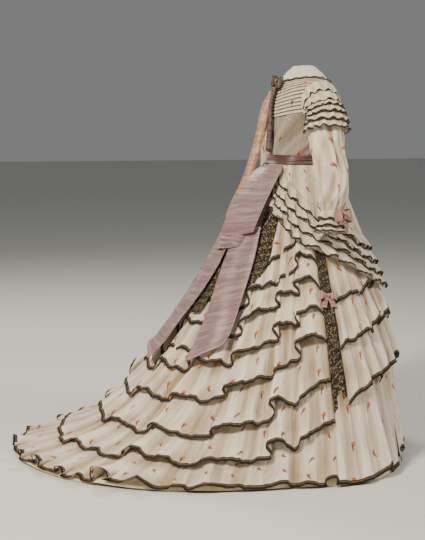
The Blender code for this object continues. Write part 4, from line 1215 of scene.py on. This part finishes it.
def back_ribbons():
    def folded(across, down):
        deep = 0.014 * smooth(down / 0.08) * smooth((1 - down) / 0.05)
        return deep * np.abs(np.sin(1.5 * np.pi * (across + 1) + 0.35 * np.sin(down * 4))) ** 0.7
    laid_ribbon("back_ribbons", RIBBON_BUNDLE, 70, 30, DARK_RIBBON, bodice, folded,
                flip=True)
    line = np.stack(route_rows(STREAMER, 90), -1)
    places = np.linspace(0, len(STREAMER) - 1, 90)[:, None]
    across = np.linspace(-1, 1, 14)
    side, face = np.array((-0.6, -0.8, 0.0)), np.array((-0.8, 0.6, 0.0))
    bow = 0.003 * (1 - across ** 2) + 0.0012 * crumple(across, places, 1.0, 0.16, 191)
    points = line + side * STREAMER_HALF * across[:, None] + face * bow[..., None]
    piece = cloth("streamer_cloth", points, PEACH_RIBBON, flip=True, thickness=RIBBON_THICK)
    sheet_for(piece, "streamer")


def ribbon_bow(name, middle, along, out, size, finish):
    """A tied ribbon bow: two loops, two tails and a knot round their middle, each a band of rows."""
    along, out, middle = np.array(along, float), np.array(out, float), np.array(middle, float)
    up = np.cross(along, out)
    up = up * np.sign(up[2] or 1)

    def band(beside, ahead, above):
        beside, ahead, above = (v[..., None] for v in np.broadcast_arrays(beside, ahead, above))
        return middle + size * (along * beside + out * ahead + up * above)
    across = np.linspace(-1, 1, 9)
    s, t = np.linspace(0, 1, 34)[:, None], np.linspace(0, 1, 24)[:, None]
    bulge, turn = np.sin(np.pi * s), np.linspace(0, 2 * np.pi, 20)[:, None]
    reach, half = 0.08 + 0.92 * bulge, 0.16 + 0.40 * bulge ** 0.7
    puff = 0.42 * np.sin(2 * np.pi * s) * bulge + 0.05 + 0.05 * np.sin(9 * s + 3 * across) * bulge
    strips = [band(hand * reach, puff, half * across + 0.10 * reach * hand) for hand in (1, -1)]
    drop = -(0.05 + 1.30 * t) - 0.12 * t ** 6 * np.abs(across)
    half = 0.10 + 0.24 * smooth(t * 2)
    for hand in (1, -1):
        lean = hand * (0.10 + 0.55 * t) + half * across
        strips.append(band(lean, 0.10 * np.sin(5 * t + hand) + 0.05 * across ** 2 - 0.05, drop))
    ring = 0.24 * (1 - 0.12 * across ** 2)
    strips.append(band(0.20 * across, 0.10 + ring * 0.8 * np.cos(turn), ring * np.sin(turn)))
    pieces = [cloth(f"{name}_{k}", strip, finish, thickness=LACE_THICK) for k, strip in enumerate(strips)]
    piece = join(pieces, name + "_cloth")
    stands_for(piece, name)


def bows():
    nape = bodice(np.array(0.93), np.array(180.0), np.array(0.0150))
    ribbon_bow("nape_bow", nape, (1, 0, 0), (0, 1, 0), 0.036, DARK_RIBBON)
    for side, label in SIDES:
        middle = sleeve(np.array(0.82), np.radians(np.array(40.0)), side, np.array(0.0134))
        away = unit(middle - sleeve_line(np.array(0.82), side)[0])
        along = unit(np.cross(away, (0, 0, 1)))
        ribbon_bow(f"cuff_bow_{label}", middle, along, away, 0.042, PINK_RIBBON)
        angle = np.array(-side * (FRONT_EDGE + BACK_EDGE) / 2)
        away = outward(skirt_plain, np.array(0.50), angle)
        middle = skirt_plain(np.array(0.442), angle) + away * 0.0184
        along = unit(np.cross(away, (0, 0, 1)))
        ribbon_bow(f"side_bow_{label}", middle, along, away, 0.028, PINK_RIBBON)


def side_panels():
    for side, label in SIDES:
        across = np.linspace(0, 1, 16)
        angle = -side * mix(FRONT_EDGE + 0.25, BACK_EDGE - 0.25, across)
        start, end = edge_share("back_1", angle), edge_share("back_7", angle) - 0.008
        share = mix(start, end, np.linspace(0, 1, 110)[:, None])
        pleat = 0.0024 + 0.0014 * np.cos(2 * np.pi * across)
        pleat = pleat + 0.0008 * crumple(across * 3, share * 20, 1.0, 1.0, 201)
        points = raised(skirt_plain, share, angle, LAYER + pleat)
        piece = cloth(f"side_lace_panel_{label}_cloth", points, LEAF_LACE, flip=side > 0)
        sheet_for(piece, f"side_lace_panel_{label}")


# Studio

def studio():
    # Matt paint, pale and with no pattern of its own
    paint, _ = new_material("pale_floor_paint", roughness=0.9, specular=0.2)
    paint.node_tree.nodes["Principled BSDF"].inputs["Base Color"].default_value = linear("#d5d6d3")
    corners = [(x * FLOOR, y * FLOOR, FLOOR_LEVEL) for x, y in ((-1, -1), (1, -1), (1, 1), (-1, 1))]
    floor = make_mesh("floor", corners, [(0, 1, 2, 3)], paint)
    world = bpy.data.worlds.new("studio")
    bpy.context.scene.world = world
    world.use_nodes = True
    background = world.node_tree.nodes["Background"]
    background.inputs["Color"].default_value = linear("#e4e6e5")
    background.inputs["Strength"].default_value = 0.26
    for name, place, size, power, colour in (
        ("key", (-2.4, 3.5, 2.7), 0.8, 380, "#fff3e2"),
        ("fill", (-2.6, -3.2, 1.8), 1.0, 130, "#fff6ea"),
        ("back", (3.4, 0.8, 2.6), 1.4, 110, "#fff8f0"),
    ):
        light = bpy.data.lights.new(name, "AREA")
        light.energy = power
        light.size = size
        light.color = linear(colour)[:3]
        lamp = bpy.data.objects.new(name, light)
        lamp.location = place
        lamp.rotation_mode = "QUATERNION"
        lamp.rotation_quaternion = (Vector(LAMP_TARGET) - Vector(place)).to_track_quat("-Z", "Y")
        bpy.context.scene.collection.objects.link(lamp)


def camera():
    azimuth, pitch, yaw = np.radians([CAMERA_AZIMUTH, CAMERA_PITCH, CAMERA_YAW])
    back = Vector((np.sin(azimuth), -np.cos(azimuth), 0))
    right = Vector((np.cos(azimuth), np.sin(azimuth), 0))
    level = -back * np.cos(yaw) - right * np.sin(yaw)
    forward = level * np.cos(pitch) - Vector((0, 0, np.sin(pitch)))
    data = bpy.data.cameras.new("photo_camera")
    data.sensor_width = 36.0
    data.lens = CAMERA_LENS_MM
    made = bpy.data.objects.new("photo_camera", data)
    made.location = back * CAMERA_DISTANCE + Vector((0, 0, CAMERA_HEIGHT - HOLD_HEIGHT))
    made.rotation_mode = "QUATERNION"
    made.rotation_quaternion = forward.to_track_quat("-Z", "Y")
    bpy.context.scene.collection.objects.link(made)
    bpy.context.scene.camera = made


def build():
    camera()
    studio()
    underskirt()
    back_flounces()
    front_flounces()
    hem_flounce()
    side_panels()
    apron()
    apron_ruffles()
    bodice_panels()
    round_neck()
    belt()
    sleeves()
    shoulder_ruffles()
    cuff_ruffles()
    sash()
    back_ribbons()
    bows()


build()
